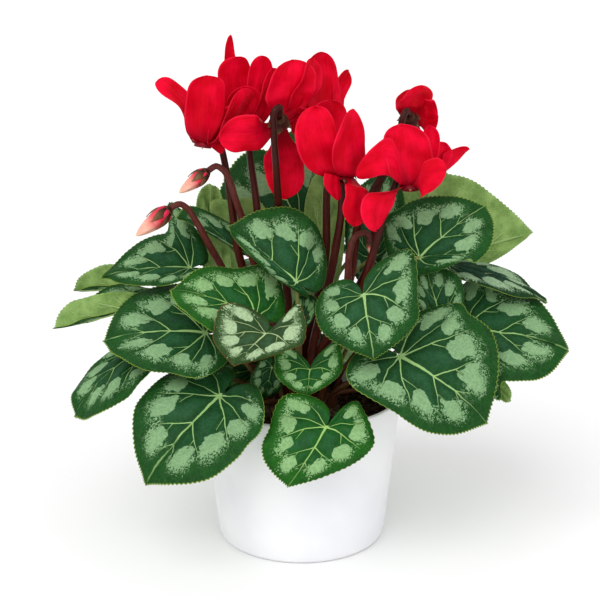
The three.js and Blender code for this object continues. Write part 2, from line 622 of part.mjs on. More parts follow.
const FLOWERS = {
  "01_left": {
    calyx: [204, 137, -4], axis: [-0.15, -0.25, -0.95], foot: [151, 10],
    via: [[238, 250, 9], [233, 215, 10], [222, 150, 9], [214, 120, 8], [208, 118, 4]],
    petals: [
      { tip: [156, 82, -4], a: [177, 107, -6], b: [184, 87, -4] },
      { tip: [208, 76, -14], a: [187, 97, -12], b: [225, 96, -16] },
      { tip: [243, 89, -12], a: [226, 116, -14], b: [250, 106, -10] },
      { tip: [248, 104, -5], a: [216, 118, -8], b: [232, 140, -6], roll: 2 },
      { tip: [196, 92, 12], a: [188, 108, 10], b: [208, 104, 12] },
    ],
  },
  "02_back_left": {
    calyx: [248, 122, 14], axis: [0, -0.6, -0.8], foot: [90, 3.5],
    via: [[259, 240, 8], [257, 209, 12], [250, 155, 22], [247, 118, 28], [248, 108, 22]],
    petals: [
      { tip: [231, 35, 18], a: [222, 72, 14], b: [239, 68, 18], taper: 1, roll: 2 },
      { tip: [234, 57, 8], a: [219, 84, 6], b: [252, 76, 10] },
      { tip: [263, 56, 12], a: [248, 82, 12], b: [272, 82, 10] },
      { tip: [273, 68, 2], a: [262, 94, 4], b: [279, 88, 0] },
      { tip: [243, 86, 4], a: [226, 112, 8], b: [264, 106, 5] },
    ],
  },
  "03_centre": {
    calyx: [279, 121, -14], axis: [0, 0.75, -0.66], foot: [240, 10],
    via: [[282, 240, 2], [279, 210, 0], [276, 165, -14], [274, 128, -22], [275, 110, -25], [279, 107, -23]],
    petals: [
      { tip: [292, 60, -4], a: [270, 88, -6], b: [315, 82, -6] },
      { tip: [311, 58, 2], a: [300, 84, 0], b: [320, 84, 0] },
      { tip: [219, 136, -22], a: [244, 116, -20], b: [244, 151, -24] },
      { tip: [287, 198, 4], a: [266, 172, 8], b: [303, 168, 4], roll: 5 },
      { tip: [316, 124, 2], a: [306, 108, 0], b: [298, 133, -2] },
    ],
  },
  "04_back_right": {
    calyx: [324, 118, 22], axis: [0.1, -0.6, -0.8], foot: [90, 10],
    via: [[326, 248, 10], [327, 193, 18], [334, 140, 27], [336, 118, 31], [331, 106, 30]],
    petals: [
      { tip: [321, 52, 20], a: [305, 82, 18], b: [339, 82, 20], taper: 0.2 },
      { tip: [348, 70, 30], a: [336, 84, 26], b: [348, 90, 30], roll: 1 },
      { tip: [298, 74, 34], a: [292, 92, 30], b: [308, 86, 34] },
      { tip: [320, 74, 46], a: [310, 92, 42], b: [329, 92, 44] },
      { tip: [304, 102, 12], a: [306, 114, 12], b: [314, 100, 12] },
    ],
  },
  "05_centre_right": {
    calyx: [345, 172, -18], axis: [0, -0.5, -0.87], foot: [290, 10],
    via: [[334, 258, -2], [341, 214, -4], [343, 184, -5], [349, 161, -4], [350, 152, -9]],
    petals: [
      { tip: [315, 106, -26], a: [297, 144, -30], b: [338, 138, -34] },
      { tip: [353, 109, -26], a: [334, 140, -36], b: [366, 146, -26], taper: 0.7 },
      { tip: [330, 100, -4], a: [313, 124, -6], b: [346, 122, -2], side: 28 },
      { tip: [353, 226, -32], a: [345, 198, -34], b: [367, 204, -32] },
      { tip: [337, 200, -26], a: [324, 178, -27], b: [340, 182, -31] },
    ],
  },
  "06_right": {
    calyx: [410, 180, -22], axis: [0, -0.4, -0.92], foot: [330, 10],
    via: [[358, 310, -22], [366, 280, -24], [380, 230, -22], [397, 180, -16], [405, 160, -14], [409, 160, -18]],
    petals: [
      { tip: [356, 175, -30], a: [383, 138, -28], b: [389, 178, -36], taper: 0.8 },
      { tip: [375, 231, -38], a: [363, 204, -36], b: [392, 200, -34] },
      { tip: [402, 124, -30], a: [386, 150, -26], b: [430, 148, -30] },
      { tip: [430, 126, -14], a: [420, 150, -16], b: [439, 148, -13], roll: -2 },
      { tip: [446, 171, -32], a: [427, 193, -34], b: [430, 160, -30], roll: -2 },
    ],
  },
  "07_top_right": {
    calyx: [409, 119, -2], axis: [0.1, 0.7, -0.7], foot: [20, 10],
    via: [[352, 270, -2], [358, 225, -2], [384, 170, -8], [398, 140, -13], [403, 118, -15], [406, 111, -13]],
    petals: [
      { tip: [421, 86, 2], a: [400, 104, 0], b: [431, 101, 4] },
      { tip: [438, 116, 4], a: [430, 100, 4], b: [430, 131, 4] },
      { tip: [418, 148, 2], a: [408, 146, 0], b: [426, 140, 2] },
      { tip: [396, 146, 8], a: [394, 134, 6], b: [406, 148, 7], roll: 1 },
      { tip: [405, 91, 14], a: [396, 104, 10], b: [416, 94, 14] },
    ],
  },
  "08_back": {
    calyx: [426, 168, 4], axis: [0.2, -0.5, -0.85], foot: [55, 10],
    via: [[372, 255, 8], [382, 178, 12], [404, 152, 14], [420, 147, 12], [427, 156, 9]],
    petals: [
      { tip: [446, 143, 0], a: [434, 148, -1], b: [450, 158, 2], roll: 2 },
      { tip: [469, 149, 8], a: [450, 151, 4], b: [451, 166, 6], roll: 2 },
      { tip: [412, 138, 26], a: [404, 152, 30], b: [422, 148, 26], roll: 3 },
      { tip: [436, 146, 26], a: [428, 158, 22], b: [444, 158, 24] },
      { tip: [424, 140, -4], a: [414, 156, -4], b: [430, 152, -3], roll: 1 },
    ],
  },
};

const BUDS = {
  "01_low": {
    base: [170, 209, -6], tip: [136, 236, -12], foot: [184, 10],
    via: [[238, 300, 9], [221, 266, 11], [207, 241, 4], [194, 218, 0], [187, 208, -2], [179, 204, -4]],
  },
  "02_high": {
    base: [208, 171, -2], tip: [179, 193, -6], foot: [206, 10],
    via: [[252, 255, 4], [242, 218, 6], [235, 198, 4], [229, 179, 2], [223, 170, 0], [216, 166, 0]],
  },
  "03_young": {
    base: [369, 240, -7], tip: [370, 254, -6], foot: [0, 1], fused: true,
    via: [[346, 305, -12], [348, 275, -14], [350, 250, -13], [355, 237, -11], [363, 233, -9]],
  },
};

function budSolid(bud) {
  const base = at(bud.base);
  const tip = at(bud.tip);
  const axis = tip.clone().sub(base);
  const length = axis.length();
  const wide = bud.wide ?? length * 0.2;
  const rows = [[0, 0.3], [wide * 0.5, 0.3], [wide, length * 0.16], [wide * 1.02, length * 0.36]];
  rows.push([wide * 0.85, length * 0.58], [wide * 0.5, length * 0.8], [wide * 0.16, length * 0.96], [0, length]);
  const g = new THREE.LatheGeometry(rows.map(([r, z]) => new THREE.Vector2(r, z)), 10);
  g.rotateX(Math.PI / 2);
  g.applyQuaternion(new THREE.Quaternion().setFromUnitVectors(V(0, 0, 1), axis.normalize()));
  g.translate(base.x, base.y, base.z);
  return fromGeometry(g);
}

function budStemSolid(bud) {
  const foot = footPoint(bud.foot);
  const points = footing(foot);
  bud.via.forEach((p) => points.push(at(p)));
  const base = at(bud.base);
  const axis = at(bud.tip).sub(base).normalize();
  points.push(base.clone().addScaledVector(axis, -3), base.clone().addScaledVector(axis, bud.fused ? 1.5 : -0.5));
  feet.push([foot, SCAPE_FOOT]);
  return bar(points, scapeRadius, STEM_SIDES, SCAPE_STEPS, LEAD, true);
}

// ---- pot, soil, tuber ----
function wallR(z) {
  return POT_BASE_R + ((POT_RIM_R - POT_BASE_R) * z) / POT_HEIGHT;
}

function potSolid() {
  const r = POT_FOOT_ROUND;
  const rows = [[0, 0], [POT_BASE_R - r, 0]];
  rows.push([POT_BASE_R - r * 0.45, r * 0.12], [POT_BASE_R - r * 0.1, r * 0.5], [wallR(r), r]);
  rows.push([POT_RIM_R - 0.2, POT_HEIGHT - RIM_BEAD], [POT_RIM_R - 0.5, POT_HEIGHT - 0.4]);
  rows.push([POT_RIM_R - RIM_BEAD, POT_HEIGHT], [POT_RIM_R - POT_WALL + 0.5, POT_HEIGHT - 0.4]);
  rows.push([POT_RIM_R - POT_WALL, POT_HEIGHT - RIM_BEAD]);
  rows.push([wallR(POT_FLOOR) - POT_WALL, POT_FLOOR], [0, POT_FLOOR]);
  return turned(rows, 40);
}

function soilSolid() {
  const rings = [0.3, 0.6, 0.85, 1];
  const around = 26;
  const topR = wallR(SOIL_TOP) - POT_WALL - SOIL_GAP;
  const lowZ = POT_FLOOR + SOIL_GAP;
  const lowR = wallR(lowZ) - POT_WALL - SOIL_GAP;
  const positions = [V(0, 0, SOIL_TOP)];
  const triangles = [];
  rings.forEach((s, i) => {
    for (let k = 0; k < around; k++) {
      const a = (2 * Math.PI * k) / around;
      const lump = s < 1 ? SOIL_BUMP * wobble(k * 1.7 + i * 5.3) : 0;
      positions.push(V(topR * s * Math.cos(a), topR * s * Math.sin(a), SOIL_TOP + lump));
    }
  });
  for (let k = 0; k < around; k++) {
    const a = (2 * Math.PI * k) / around;
    positions.push(V(lowR * Math.cos(a), lowR * Math.sin(a), lowZ));
  }
  positions.push(V(0, 0, lowZ));
  const bottom = positions.length - 1;
  for (let k = 0; k < around; k++) {
    const n = (k + 1) % around;
    triangles.push([0, 1 + k, 1 + n]);
    for (let i = 0; i < rings.length; i++) {
      const a = 1 + i * around + k;
      const b = 1 + i * around + n;
      triangles.push([a, a + around, b + around], [a, b + around, b]);
    }
    const c = 1 + rings.length * around;
    triangles.push([bottom, c + n, c + k]);
  }
  return solid(positions, triangles);
}

function tuberShape(grow) {
  const g = new THREE.SphereGeometry(1, 16, 7);
  g.rotateX(Math.PI / 2);
  const p = g.getAttribute("position");
  for (let i = 0; i < p.count; i++) {
    const x = p.getX(i);
    const y = p.getY(i);
    const z = p.getZ(i);
    p.setXYZ(i, x * (TUBER_R + grow), y * (TUBER_R + grow), z * (TUBER_HALF_HEIGHT + grow) + TUBER_Z);
  }
  return fromGeometry(g);
}

function plugs(list) {
  let all = null;
  for (const [foot, r] of list) {
    const low = foot.clone().add(V(0, 0, -HOLE_GAP));
    const hole = bar([low, low.clone().add(V(0, 0, 20))], () => r + HOLE_GAP * 1.5, STEM_SIDES, 1);
    all = all ? all.add(hole) : hole;
  }
  return all;
}

// ---- assembly ----
const part = new THREE.Group();
part.name = "potted_cyclamen";
const shades = {};
function place(name, made, colour, rough) {
  shades[colour] ??= new THREE.MeshStandardMaterial({ color: colour, roughness: rough });
  const mesh = new THREE.Mesh(toGeometry(made), shades[colour]);
  mesh.name = name;
  part.add(mesh);
}

for (const [name, leaf] of Object.entries(LEAVES)) {
  place(name, leafSolid(leaf), leaf.face === -1 ? "#7fa850" : "#2c5a3c", 0.6);
}
for (const [name, flower] of Object.entries(FLOWERS)) {
  place("stem_" + name, stemSolid({ ...flower, bloom: flower }), "#4a2420", 0.5);
  place("bloom_" + name, bloomSolid(flower), "#e01030", 0.5);
}
for (const [name, bud] of Object.entries(BUDS)) {
  if (bud.fused) {
    place("budstem_" + name, budStemSolid(bud).add(budSolid(bud)), "#6a3c38", 0.5);
    continue;
  }
  place("budstem_" + name, budStemSolid(bud), "#4a2420", 0.5);
  place("bud_" + name, budSolid(bud), "#e58070", 0.5);
}
place("pot", potSolid(), "#f2f2f4", 0.3);
place("soil", soilSolid().subtract(tuberShape(SOIL_GAP)), "#2a1c14", 0.95);
place("tuber", tuberShape(0).subtract(plugs(feet)), "#5a4030", 0.85);

export default part;
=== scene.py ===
"""Potted cyclamen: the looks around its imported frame.

Heart-shaped leaves with a silver ring, nodding red flowers on dark stalks, furled
buds, compost and a corky tuber, in a plain white pot. A piece is shaped in
millimetres, Z up, and becomes metres when it is finished.
"""

import math
import random
from functools import lru_cache

import bmesh
import bpy
from mathutils import Matrix, Quaternion, Vector, noise


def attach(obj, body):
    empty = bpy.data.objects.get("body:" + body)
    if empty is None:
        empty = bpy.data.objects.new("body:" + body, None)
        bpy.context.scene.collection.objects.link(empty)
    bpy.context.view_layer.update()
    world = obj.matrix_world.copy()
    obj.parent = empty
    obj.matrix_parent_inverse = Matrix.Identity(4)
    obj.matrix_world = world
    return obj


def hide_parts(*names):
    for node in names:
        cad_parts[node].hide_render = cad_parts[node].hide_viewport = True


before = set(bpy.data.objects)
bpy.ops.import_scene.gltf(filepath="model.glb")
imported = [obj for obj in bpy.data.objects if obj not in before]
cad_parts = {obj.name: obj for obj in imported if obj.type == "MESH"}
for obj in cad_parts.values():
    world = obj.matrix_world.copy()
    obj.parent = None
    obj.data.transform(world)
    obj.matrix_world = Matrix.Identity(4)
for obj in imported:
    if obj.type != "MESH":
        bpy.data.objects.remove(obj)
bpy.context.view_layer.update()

MM = 0.001
BODY = "root"
random.seed(7)

# ---- view that the anchor points were read from, and the camera ----
VIEW_DISTANCE = 1000.0
VIEW_ELEVATION = math.radians(17)
VIEW_FOCAL = 1560.0  # pixels
VIEW_SIZE = 600
SENSOR = 36.0
AIM = Vector((-1, 0, 160))
TOWARD = Vector((0, -math.cos(VIEW_ELEVATION), math.sin(VIEW_ELEVATION)))
UPWARD = Vector((0, math.sin(VIEW_ELEVATION), math.cos(VIEW_ELEVATION)))
EYE = AIM + TOWARD * VIEW_DISTANCE

camera = bpy.data.objects.new("camera", bpy.data.cameras.new("camera"))
camera.data.sensor_width = SENSOR
camera.data.lens = VIEW_FOCAL * SENSOR / VIEW_SIZE
camera.location = EYE * MM
camera.rotation_euler = (math.pi / 2 - VIEW_ELEVATION, 0, 0)
bpy.context.scene.collection.objects.link(camera)
bpy.context.scene.camera = camera

# ---- sizes shared with the frame, in millimetres ----
POT_HEIGHT = 98.5
POT_RIM_R = 65.0
POT_BASE_R = 54.5
POT_WALL = 2.6
POT_FLOOR = 3.5
POT_FOOT_ROUND = 4.0
RIM_BEAD = 1.3
SOIL_TOP = 85.0
SOIL_GAP = 0.3  # between the compost and the pot
SOIL_BUMP = 2.4
TUBER_R = 27.0
TUBER_HALF_HEIGHT = 15.0
TUBER_Z = 83.0
HOLE_GAP = 0.3  # under a stem's end
HOLE_DEPTH = 5.0
LEAD = 8.0  # straight lower end of a stem
BLADE = 0.6  # thickness of a leaf
PETIOLE_R = 1.55
LOBE_U = -0.24  # where the lobes are widest, as a share of the leaf's length
MID_U = 0.28  # where the blade is widest
CUP_R = 5.5
CUP_LENGTH = 6.0
PETAL = 0.55  # thickness of a petal
PETAL_ROLL = 6.0  # half the depth between the two edges of a petal
PETAL_U = 0.58  # where a petal is widest
CALYX_R = 4.2
SCAPE_FOOT = 1.75
SCAPE_R = 2.7
SCAPE_TOP = 2.0

# Half outline of a heart leaf: share of half width, share of length. Its notch is a
# little tighter than in the frame.
OUTLINE = [
    [0.03, -0.14], [0.09, -0.255], [0.25, -0.32], [0.48, -0.29], [0.7, -0.19], [0.87, -0.03], [0.98, 0.16],
    [1.0, 0.34], [0.93, 0.51], [0.77, 0.66], [0.55, 0.79], [0.32, 0.89], [0.13, 0.955], [0.0, 1.0],
]
# Half width of a petal from its root to its tip.
PETAL_WIDTH = [[0.95], [1.0], [1.06], [1.08], [1.05], [0.98], [0.82], [0.38]]

# ---- anchor points: pixels of the view and the depth in millimetres ----
# Leaf: heart, tip, left and right of the blade, foot in the tuber as azimuth and radius,
# and the height of its bow.
LEAF_KEYS = ("heart", "tip", "left", "right", "foot", "bow")
LEAVES = [
    ["leaf_01_front_left", [220, 397, -48], [145, 484, -80], [158, 386, -40], [242, 450, -86], [222, 22], 5,
     {"lobe_left": [206, 364, -28], "lobe_right": [258, 400, -72], "taper": -0.2}],
    ["leaf_02_front_centre", [326, 428, -75], [288, 487, -92], [267, 434, -78], [373, 446, -76], [287, 22],
     4, {"lobe_left": [304, 397, -63], "lobe_right": [354, 403, -64]}],
    ["leaf_03_left", [206, 334, -30], [103, 341, -36], [160, 288, 2], [166, 375, -54], [205, 22], 6,
     {"lobe_left": [212, 300, -6], "lobe_right": [218, 360, -50], "taper": 0.08}],
    ["leaf_04_mid_left", [256, 318, -42], [170, 290, -38], [232, 265, -14], [206, 332, -58], [212, 15], 5,
     {"taper": 0.3, "lobe_left": [282, 288, -20], "lobe_right": [262, 334, -48]}],
    ["leaf_05_upper_left", [190, 268, 6], [101, 277, -8], [163, 230, 26], [152, 290, -14], [172, 15], 4,
     {"lobe_left": [189, 220, 34], "lobe_right": [200, 272, -6], "taper": 0.4}],
    ["leaf_06_far_left", [156, 300, 8], [86, 309, 3], [118, 286, 17], [124, 308, 0], [178, 22], 2],
    ["leaf_07_low_left", [142, 350, -18], [74, 416, -46], [99, 364, -16], [127, 397, -54], [190, 22], 5,
     {"taper": -0.08}],
    ["leaf_08_small_centre", [266, 334, -64], [234, 366, -72], [206, 331, -61], [309, 345, -70], [256, 22],
     2, {"lobe_left": [246, 308, -56], "lobe_right": [292, 308, -60], "stalk": 1.3, "taper": 0.5}],
    ["leaf_09_upper_centre", [296, 282, -34], [228, 226, -16], [262, 268, -30], [308, 218, -10], [270, 15],
     4, {"lobe_left": [288, 284, -34], "lobe_right": [324, 262, -18]}],
    ["leaf_10_centre_right", [363, 296, -52], [374, 359, -72], [316, 318, -58], [418, 306, -54], [304, 22],
     5, {"lobe_left": [334, 284, -44], "lobe_right": [394, 254, -34]}],
    ["leaf_11_front_right", [401, 357, -50], [487, 423, -68], [468, 322, -26], [402, 414, -76], [320, 22],
     6, {"lobe_left": [426, 310, -26], "lobe_right": [354, 364, -62], "taper": -0.28}],
    ["leaf_12_far_right", [462, 330, -8], [569, 349, -22], [508, 289, 20], [507, 385, -40], [350, 22], 5,
     {"lobe_left": [462, 286, 16], "lobe_right": [470, 372, -34], "taper": 0.1}],
    ["leaf_13_right_folded", [448, 265, 8], [548, 302, 2], [498, 268, 20], [488, 291, -6], [6, 22], 4,
     {"taper": 0.35}],
    ["leaf_14_upper_right", [420, 258, -14], [486, 205, -6], [404, 208, 10], [478, 261, -28], [340, 15], 4,
     {"lobe_left": [386, 240, 4], "lobe_right": [440, 265, -26]}],
    ["leaf_15_back_right", [430, 258, 24], [532, 233, 30], [452, 164, 44], [479, 270, 14], [25, 15], 3,
     {"lobe_left": [400, 194, 40], "face": -1, "taper": 0.45}],
    ["leaf_16_back_centre", [300, 235, 44], [214, 209, 50], [268, 152, 64], [252, 258, 40], [88, 15], 4,
     {"lobe_left": [317, 164, 60]}],
    ["leaf_17_bud_left", [210, 242, 39], [211, 184, 38], [196, 210, 38], [224, 214, 37], [134, 15], 2,
     {"face": -1}],
    ["leaf_18_bud_right", [240, 245, 26], [228, 200, 30], [211, 214, 27], [266, 212, 30], [118, 15], 2,
     {"face": -1}],
    ["leaf_19_narrow_dark", [252, 256, 18], [177, 218, 18], [214, 214, 24], [205, 232, 16], [128, 10], 3],
    ["leaf_20_small_low", [310, 370, -50], [306, 397, -58], [275, 370, -54], [342, 369, -50], [272, 22], 2,
     {"lobe_left": [290, 348, -47], "lobe_right": [329, 346, -45]}],
    ["leaf_21_tiny", [301, 324, -18], [304, 295, -14], [292, 308, -16], [317, 305, -16], [252, 15], 1,
     {"stalk": 1.2}],
    ["leaf_22_dark_right", [440, 318, -12], [426, 268, -6], [412, 292, -8], [463, 286, -6], [358, 15], 2],
    ["leaf_23_dark_low", [272, 367, -24], [264, 398, -22], [251, 378, -23], [283, 382, -23], [239, 22], 3],
    ["leaf_24_pale_right", [474, 364, -14], [510, 401, -22], [499, 374, -16], [489, 390, -22], [336, 22], 1,
     {"face": -1}],
    ["leaf_27_curled_upper", [134, 286, 21], [74, 291, 14], [106, 266, 26], [113, 284, 17], [163, 22], 2,
     {"taper": -0.1, "face": -1}],
    ["leaf_28_curled_lower", [126, 310, -9], [54, 330, -14], [92, 297, -4], [100, 315, -12], [192, 16], 2,
     {"taper": -0.3, "face": -1}],
    ["leaf_29_inner_left", [252, 370, 20], [214, 378, 16], [240, 352, 25], [236, 392, 13], [146, 22], 2,
     {"stalk": 1.3}],
    ["leaf_30_behind_stems", [373, 258, 18], [379, 171, 40], [345, 226, 32], [405, 212, 25], [58, 22], 3],
    ["leaf_25_pale_left", [230, 284, 23], [204, 230, 31], [197, 256, 31], [234, 250, 24], [150, 15], 2,
     {"face": -1}],
    ["leaf_26_pale_upright", [322, 276, 21], [322, 168, 36], [304, 226, 28], [345, 226, 28], [60, 15], 2,
     {"face": -1}],
]
# Leaf at the back: azimuth, radius and height of its heart, length, width, fall and roll in
# degrees, and its foot.
BACK = [
    ["leaf_31_back_low", 36, 56, 134, 58, 62, 40, 6, [40, 22]],
    ["leaf_32_back_low", 70, 60, 112, 64, 68, 48, 6, [70, 22]],
    ["leaf_33_back_low", 92, 60, 152, 62, 66, 38, 6, [100, 22]],
    ["leaf_34_back_low", 140, 60, 120, 62, 66, 46, 6, [128, 22]],
    ["leaf_35_back_high", 55, 63, 179, 62, 66, 33, 6, [75, 15]],
    ["leaf_36_back_high", 119, 66, 169, 62, 66, 28, -6, [103, 15]],
]

# Flower: calyx, axis, foot, the way of its stem, then five petals, each with its tip, the
# two ends of its widest line and what else it needs.
FLOWERS = {
    "01_left": [
        [204, 137, -4], [-0.15, -0.25, -0.95], [151, 10],
        [[238, 250, 9], [233, 215, 10], [222, 150, 9], [214, 120, 8], [208, 118, 4]],
        [[156, 82, -4], [177, 107, -6], [184, 87, -4]],
        [[208, 76, -14], [187, 97, -12], [225, 96, -16]],
        [[243, 89, -12], [226, 116, -14], [250, 106, -10]],
        [[248, 104, -5], [216, 118, -8], [232, 140, -6], {"roll": 2}],
        [[196, 92, 12], [188, 108, 10], [208, 104, 12]],
    ],
    "02_back_left": [
        [248, 122, 14], [0, -0.6, -0.8], [90, 3.5],
        [[259, 240, 8], [257, 209, 12], [250, 155, 22], [247, 118, 28], [248, 108, 22]],
        [[231, 35, 18], [222, 72, 14], [239, 68, 18], {"taper": 1, "roll": 2}],
        [[234, 57, 8], [219, 84, 6], [252, 76, 10]],
        [[263, 56, 12], [248, 82, 12], [272, 82, 10]],
        [[273, 68, 2], [262, 94, 4], [279, 88, 0]],
        [[243, 86, 4], [226, 112, 8], [264, 106, 5]],
    ],
    "03_centre": [
        [279, 121, -14], [0, 0.75, -0.66], [240, 10],
        [[282, 240, 2], [279, 210, 0], [276, 165, -14], [274, 128, -22], [275, 110, -25], [279, 107, -23]],
        [[292, 60, -4], [270, 88, -6], [315, 82, -6]],
        [[311, 58, 2], [300, 84, 0], [320, 84, 0]],
        [[219, 136, -22], [244, 116, -20], [244, 151, -24]],
        [[287, 198, 4], [266, 172, 8], [303, 168, 4], {"roll": 5}],
        [[316, 124, 2], [306, 108, 0], [298, 133, -2]],
    ],
    "04_back_right": [
        [324, 118, 22], [0.1, -0.6, -0.8], [90, 10],
        [[326, 248, 10], [327, 193, 18], [334, 140, 27], [336, 118, 31], [331, 106, 30]],
        [[321, 52, 20], [305, 82, 18], [339, 82, 20], {"taper": 0.2}],
        [[348, 70, 30], [336, 84, 26], [348, 90, 30], {"roll": 1}],
        [[298, 74, 34], [292, 92, 30], [308, 86, 34]],
        [[320, 74, 46], [310, 92, 42], [329, 92, 44]],
        [[304, 102, 12], [306, 114, 12], [314, 100, 12]],
    ],
    "05_centre_right": [
        [345, 172, -18], [0, -0.5, -0.87], [290, 10],
        [[334, 258, -2], [341, 214, -4], [343, 184, -5], [349, 161, -4], [350, 152, -9]],
        [[315, 106, -26], [297, 144, -30], [338, 138, -34]],
        [[353, 109, -26], [334, 140, -36], [366, 146, -26], {"taper": 0.7}],
        [[330, 100, -4], [313, 124, -6], [346, 122, -2], {"side": 28}],
        [[353, 226, -32], [345, 198, -34], [367, 204, -32]],
        [[337, 200, -26], [324, 178, -27], [340, 182, -31]],
    ],
    "06_right": [
        [410, 180, -22], [0, -0.4, -0.92], [330, 10],
        [[358, 310, -22], [366, 280, -24], [380, 230, -22], [397, 180, -16], [405, 160, -14],
         [409, 160, -18]],
        [[356, 175, -30], [383, 138, -28], [389, 178, -36], {"taper": 0.8}],
        [[375, 231, -38], [363, 204, -36], [392, 200, -34]],
        [[402, 124, -30], [386, 150, -26], [430, 148, -30]],
        [[430, 126, -14], [420, 150, -16], [439, 148, -13], {"roll": -2}],
        [[446, 171, -32], [427, 193, -34], [430, 160, -30], {"roll": -2}],
    ],
    "07_top_right": [
        [409, 119, -2], [0.1, 0.7, -0.7], [20, 10],
        [[352, 270, -2], [358, 225, -2], [384, 170, -8], [398, 140, -13], [403, 118, -15], [406, 111, -13]],
        [[421, 86, 2], [400, 104, 0], [431, 101, 4]],
        [[438, 116, 4], [430, 100, 4], [430, 131, 4]],
        [[418, 148, 2], [408, 146, 0], [426, 140, 2]],
        [[396, 146, 8], [394, 134, 6], [406, 148, 7], {"roll": 1}],
        [[405, 91, 14], [396, 104, 10], [416, 94, 14]],
    ],
    "08_back": [
        [426, 168, 4], [0.2, -0.5, -0.85], [55, 10],
        [[372, 255, 8], [382, 178, 12], [404, 152, 14], [420, 147, 12], [427, 156, 9]],
        [[446, 143, 0], [434, 148, -1], [450, 158, 2], {"roll": 2}],
        [[469, 149, 8], [450, 151, 4], [451, 166, 6], {"roll": 2}],
        [[412, 138, 26], [404, 152, 30], [422, 148, 26], {"roll": 3}],
        [[436, 146, 26], [428, 158, 22], [444, 158, 24]],
        [[424, 140, -4], [414, 156, -4], [430, 152, -3], {"roll": 1}],
    ],
}

# Bud: base, tip, foot and the way of its stem.
BUDS = {
    "01_low": [
        [170, 209, -6], [136, 236, -12], [184, 10],
        [[238, 300, 9], [221, 266, 11], [207, 241, 4], [194, 218, 0], [187, 208, -2], [179, 204, -4]],
    ],
    "02_high": [
        [208, 171, -2], [179, 193, -6], [206, 10],
        [[252, 255, 4], [242, 218, 6], [235, 198, 4], [229, 179, 2], [223, 170, 0], [216, 166, 0]],
    ],
    "03_young": [
        [369, 240, -7], [370, 254, -6], [0, 1],
        [[346, 305, -12], [348, 275, -14], [350, 250, -13], [355, 237, -11], [363, 233, -9]],
    ],
}
FUSED = ("03_young",)  # so small that bud and stem are one piece


# ---- points and curves ----
def at(anchor):
    """Point of the upright plane y = depth that shows at a pixel of the view."""
    if isinstance(anchor, Vector):
        return anchor.copy()
    px, py, depth = anchor
    middle = VIEW_SIZE / 2
    ray = Vector((px - middle, 0, 0)) + UPWARD * (middle - py) - TOWARD * VIEW_FOCAL
    return EYE + ray * ((depth - EYE.y) / ray.y)


def smooth(x):
    """Smooth step from 0 to 1 for x from 0 to 1."""
    t = min(1.0, max(0.0, x))
    return t * t * (3 - 2 * t)


def through(rows, t):
    """Smooth curve through a list of number rows, t from 0 to 1."""
    n = len(rows) - 1
    i = min(n - 1, int(t * n))
    f = t * n - i
    a, b, c, d = (rows[min(n, max(0, k))] for k in (i - 1, i, i + 1, i + 2))
    out = []
    for k in range(len(b)):
        m0 = (c[k] - a[k]) / 2
        m1 = (d[k] - b[k]) / 2
        start = (1 + 2 * f) * (1 - f) ** 2 * b[k] + f * (1 - f) ** 2 * m0
        out.append(start + f * f * (3 - 2 * f) * c[k] + f * f * (f - 1) * m1)
    return out


@lru_cache(maxsize=None)
def outline(turn):
    """Share of half width and of length at a share of the way round half a leaf."""
    return through(OUTLINE, turn)


@lru_cache(maxsize=None)
def petal_width(t):
    return through(PETAL_WIDTH, t)[0]


def on_path(points, share):
    """Point at a share of the length of a smooth path through points."""
    spans = [(b - a).length for a, b in zip(points, points[1:])]
    rest = share * sum(spans)
    i = 0
    while i < len(spans) - 1 and rest > spans[i]:
        rest -= spans[i]
        i += 1
    f = min(1.0, rest / spans[i])

    def tangent(k):
        if k == 0:
            return (points[1] - points[0]) / spans[0]
        if k == len(spans):
            return (points[k] - points[k - 1]) / spans[k - 1]
        before, after = spans[k - 1], spans[k]
        slope = (points[k] - points[k - 1]) * (after / before)
        return (slope + (points[k + 1] - points[k]) * (before / after)) / (before + after)

    p = points[i] * ((1 + 2 * f) * (1 - f) ** 2) + tangent(i) * (spans[i] * f * (1 - f) ** 2)
    p += points[i + 1] * (f * f * (3 - 2 * f))
    return p + tangent(i + 1) * (spans[i] * f * f * (f - 1))


def around(azimuth, radius, z=0.0):
    """Point at an azimuth and a radius round the pot's axis."""
    return Vector((radius * math.cos(azimuth), radius * math.sin(azimuth), z))


def foot_point(foot):
    """Bottom of a stem's hole in the tuber, from its azimuth and radius."""
    azimuth, radius = math.radians(foot[0]), foot[1]
    top = TUBER_Z + TUBER_HALF_HEIGHT * math.sqrt(1 - (radius / TUBER_R) ** 2)
    return around(azimuth, radius, top - HOLE_DEPTH + HOLE_GAP)


def footing(foot):
    """The straight start of a stem, in its hole."""
    return [foot + Vector((0, 0, rise)) for rise in (0, LEAD / 2, LEAD)]


def wall_r(z):
    """Outer radius of the pot's wall."""
    return POT_BASE_R + (POT_RIM_R - POT_BASE_R) * z / POT_HEIGHT


# ---- mesh tools ----
MARK = "mark"  # where a vertex lies on its leaf, petal or stalk, for the patterns
NORMAL = "sheet_normal"
WELD = 1e-3  # points closer than this become one


def new_mesh():
    """An empty mesh with the two vertex layers."""
    bm = bmesh.new()
    bm.verts.layers.float_vector.new(MARK)
    bm.verts.layers.float_vector.new(NORMAL)
    return bm


def sheet(bm, across, along, place, material=0):
    """Adds a grid sheet. place(x, y) gives a vertex its point and its mark, for x
    from -1 to 1 and y from 0 to 1. Points that meet are welded. Returns its faces."""
    marks = bm.verts.layers.float_vector[MARK]
    before = set(bm.faces)
    verts = bmesh.ops.create_grid(bm, x_segments=across, y_segments=along, size=1.0)["verts"]
    for v in verts:
        v.co, v[marks] = place(v.co.x, (v.co.y + 1) / 2)
    bmesh.ops.remove_doubles(bm, verts=verts, dist=WELD)
    faces = [f for f in bm.faces if f not in before]
    for f in faces:
        f.material_index = material
    return faces


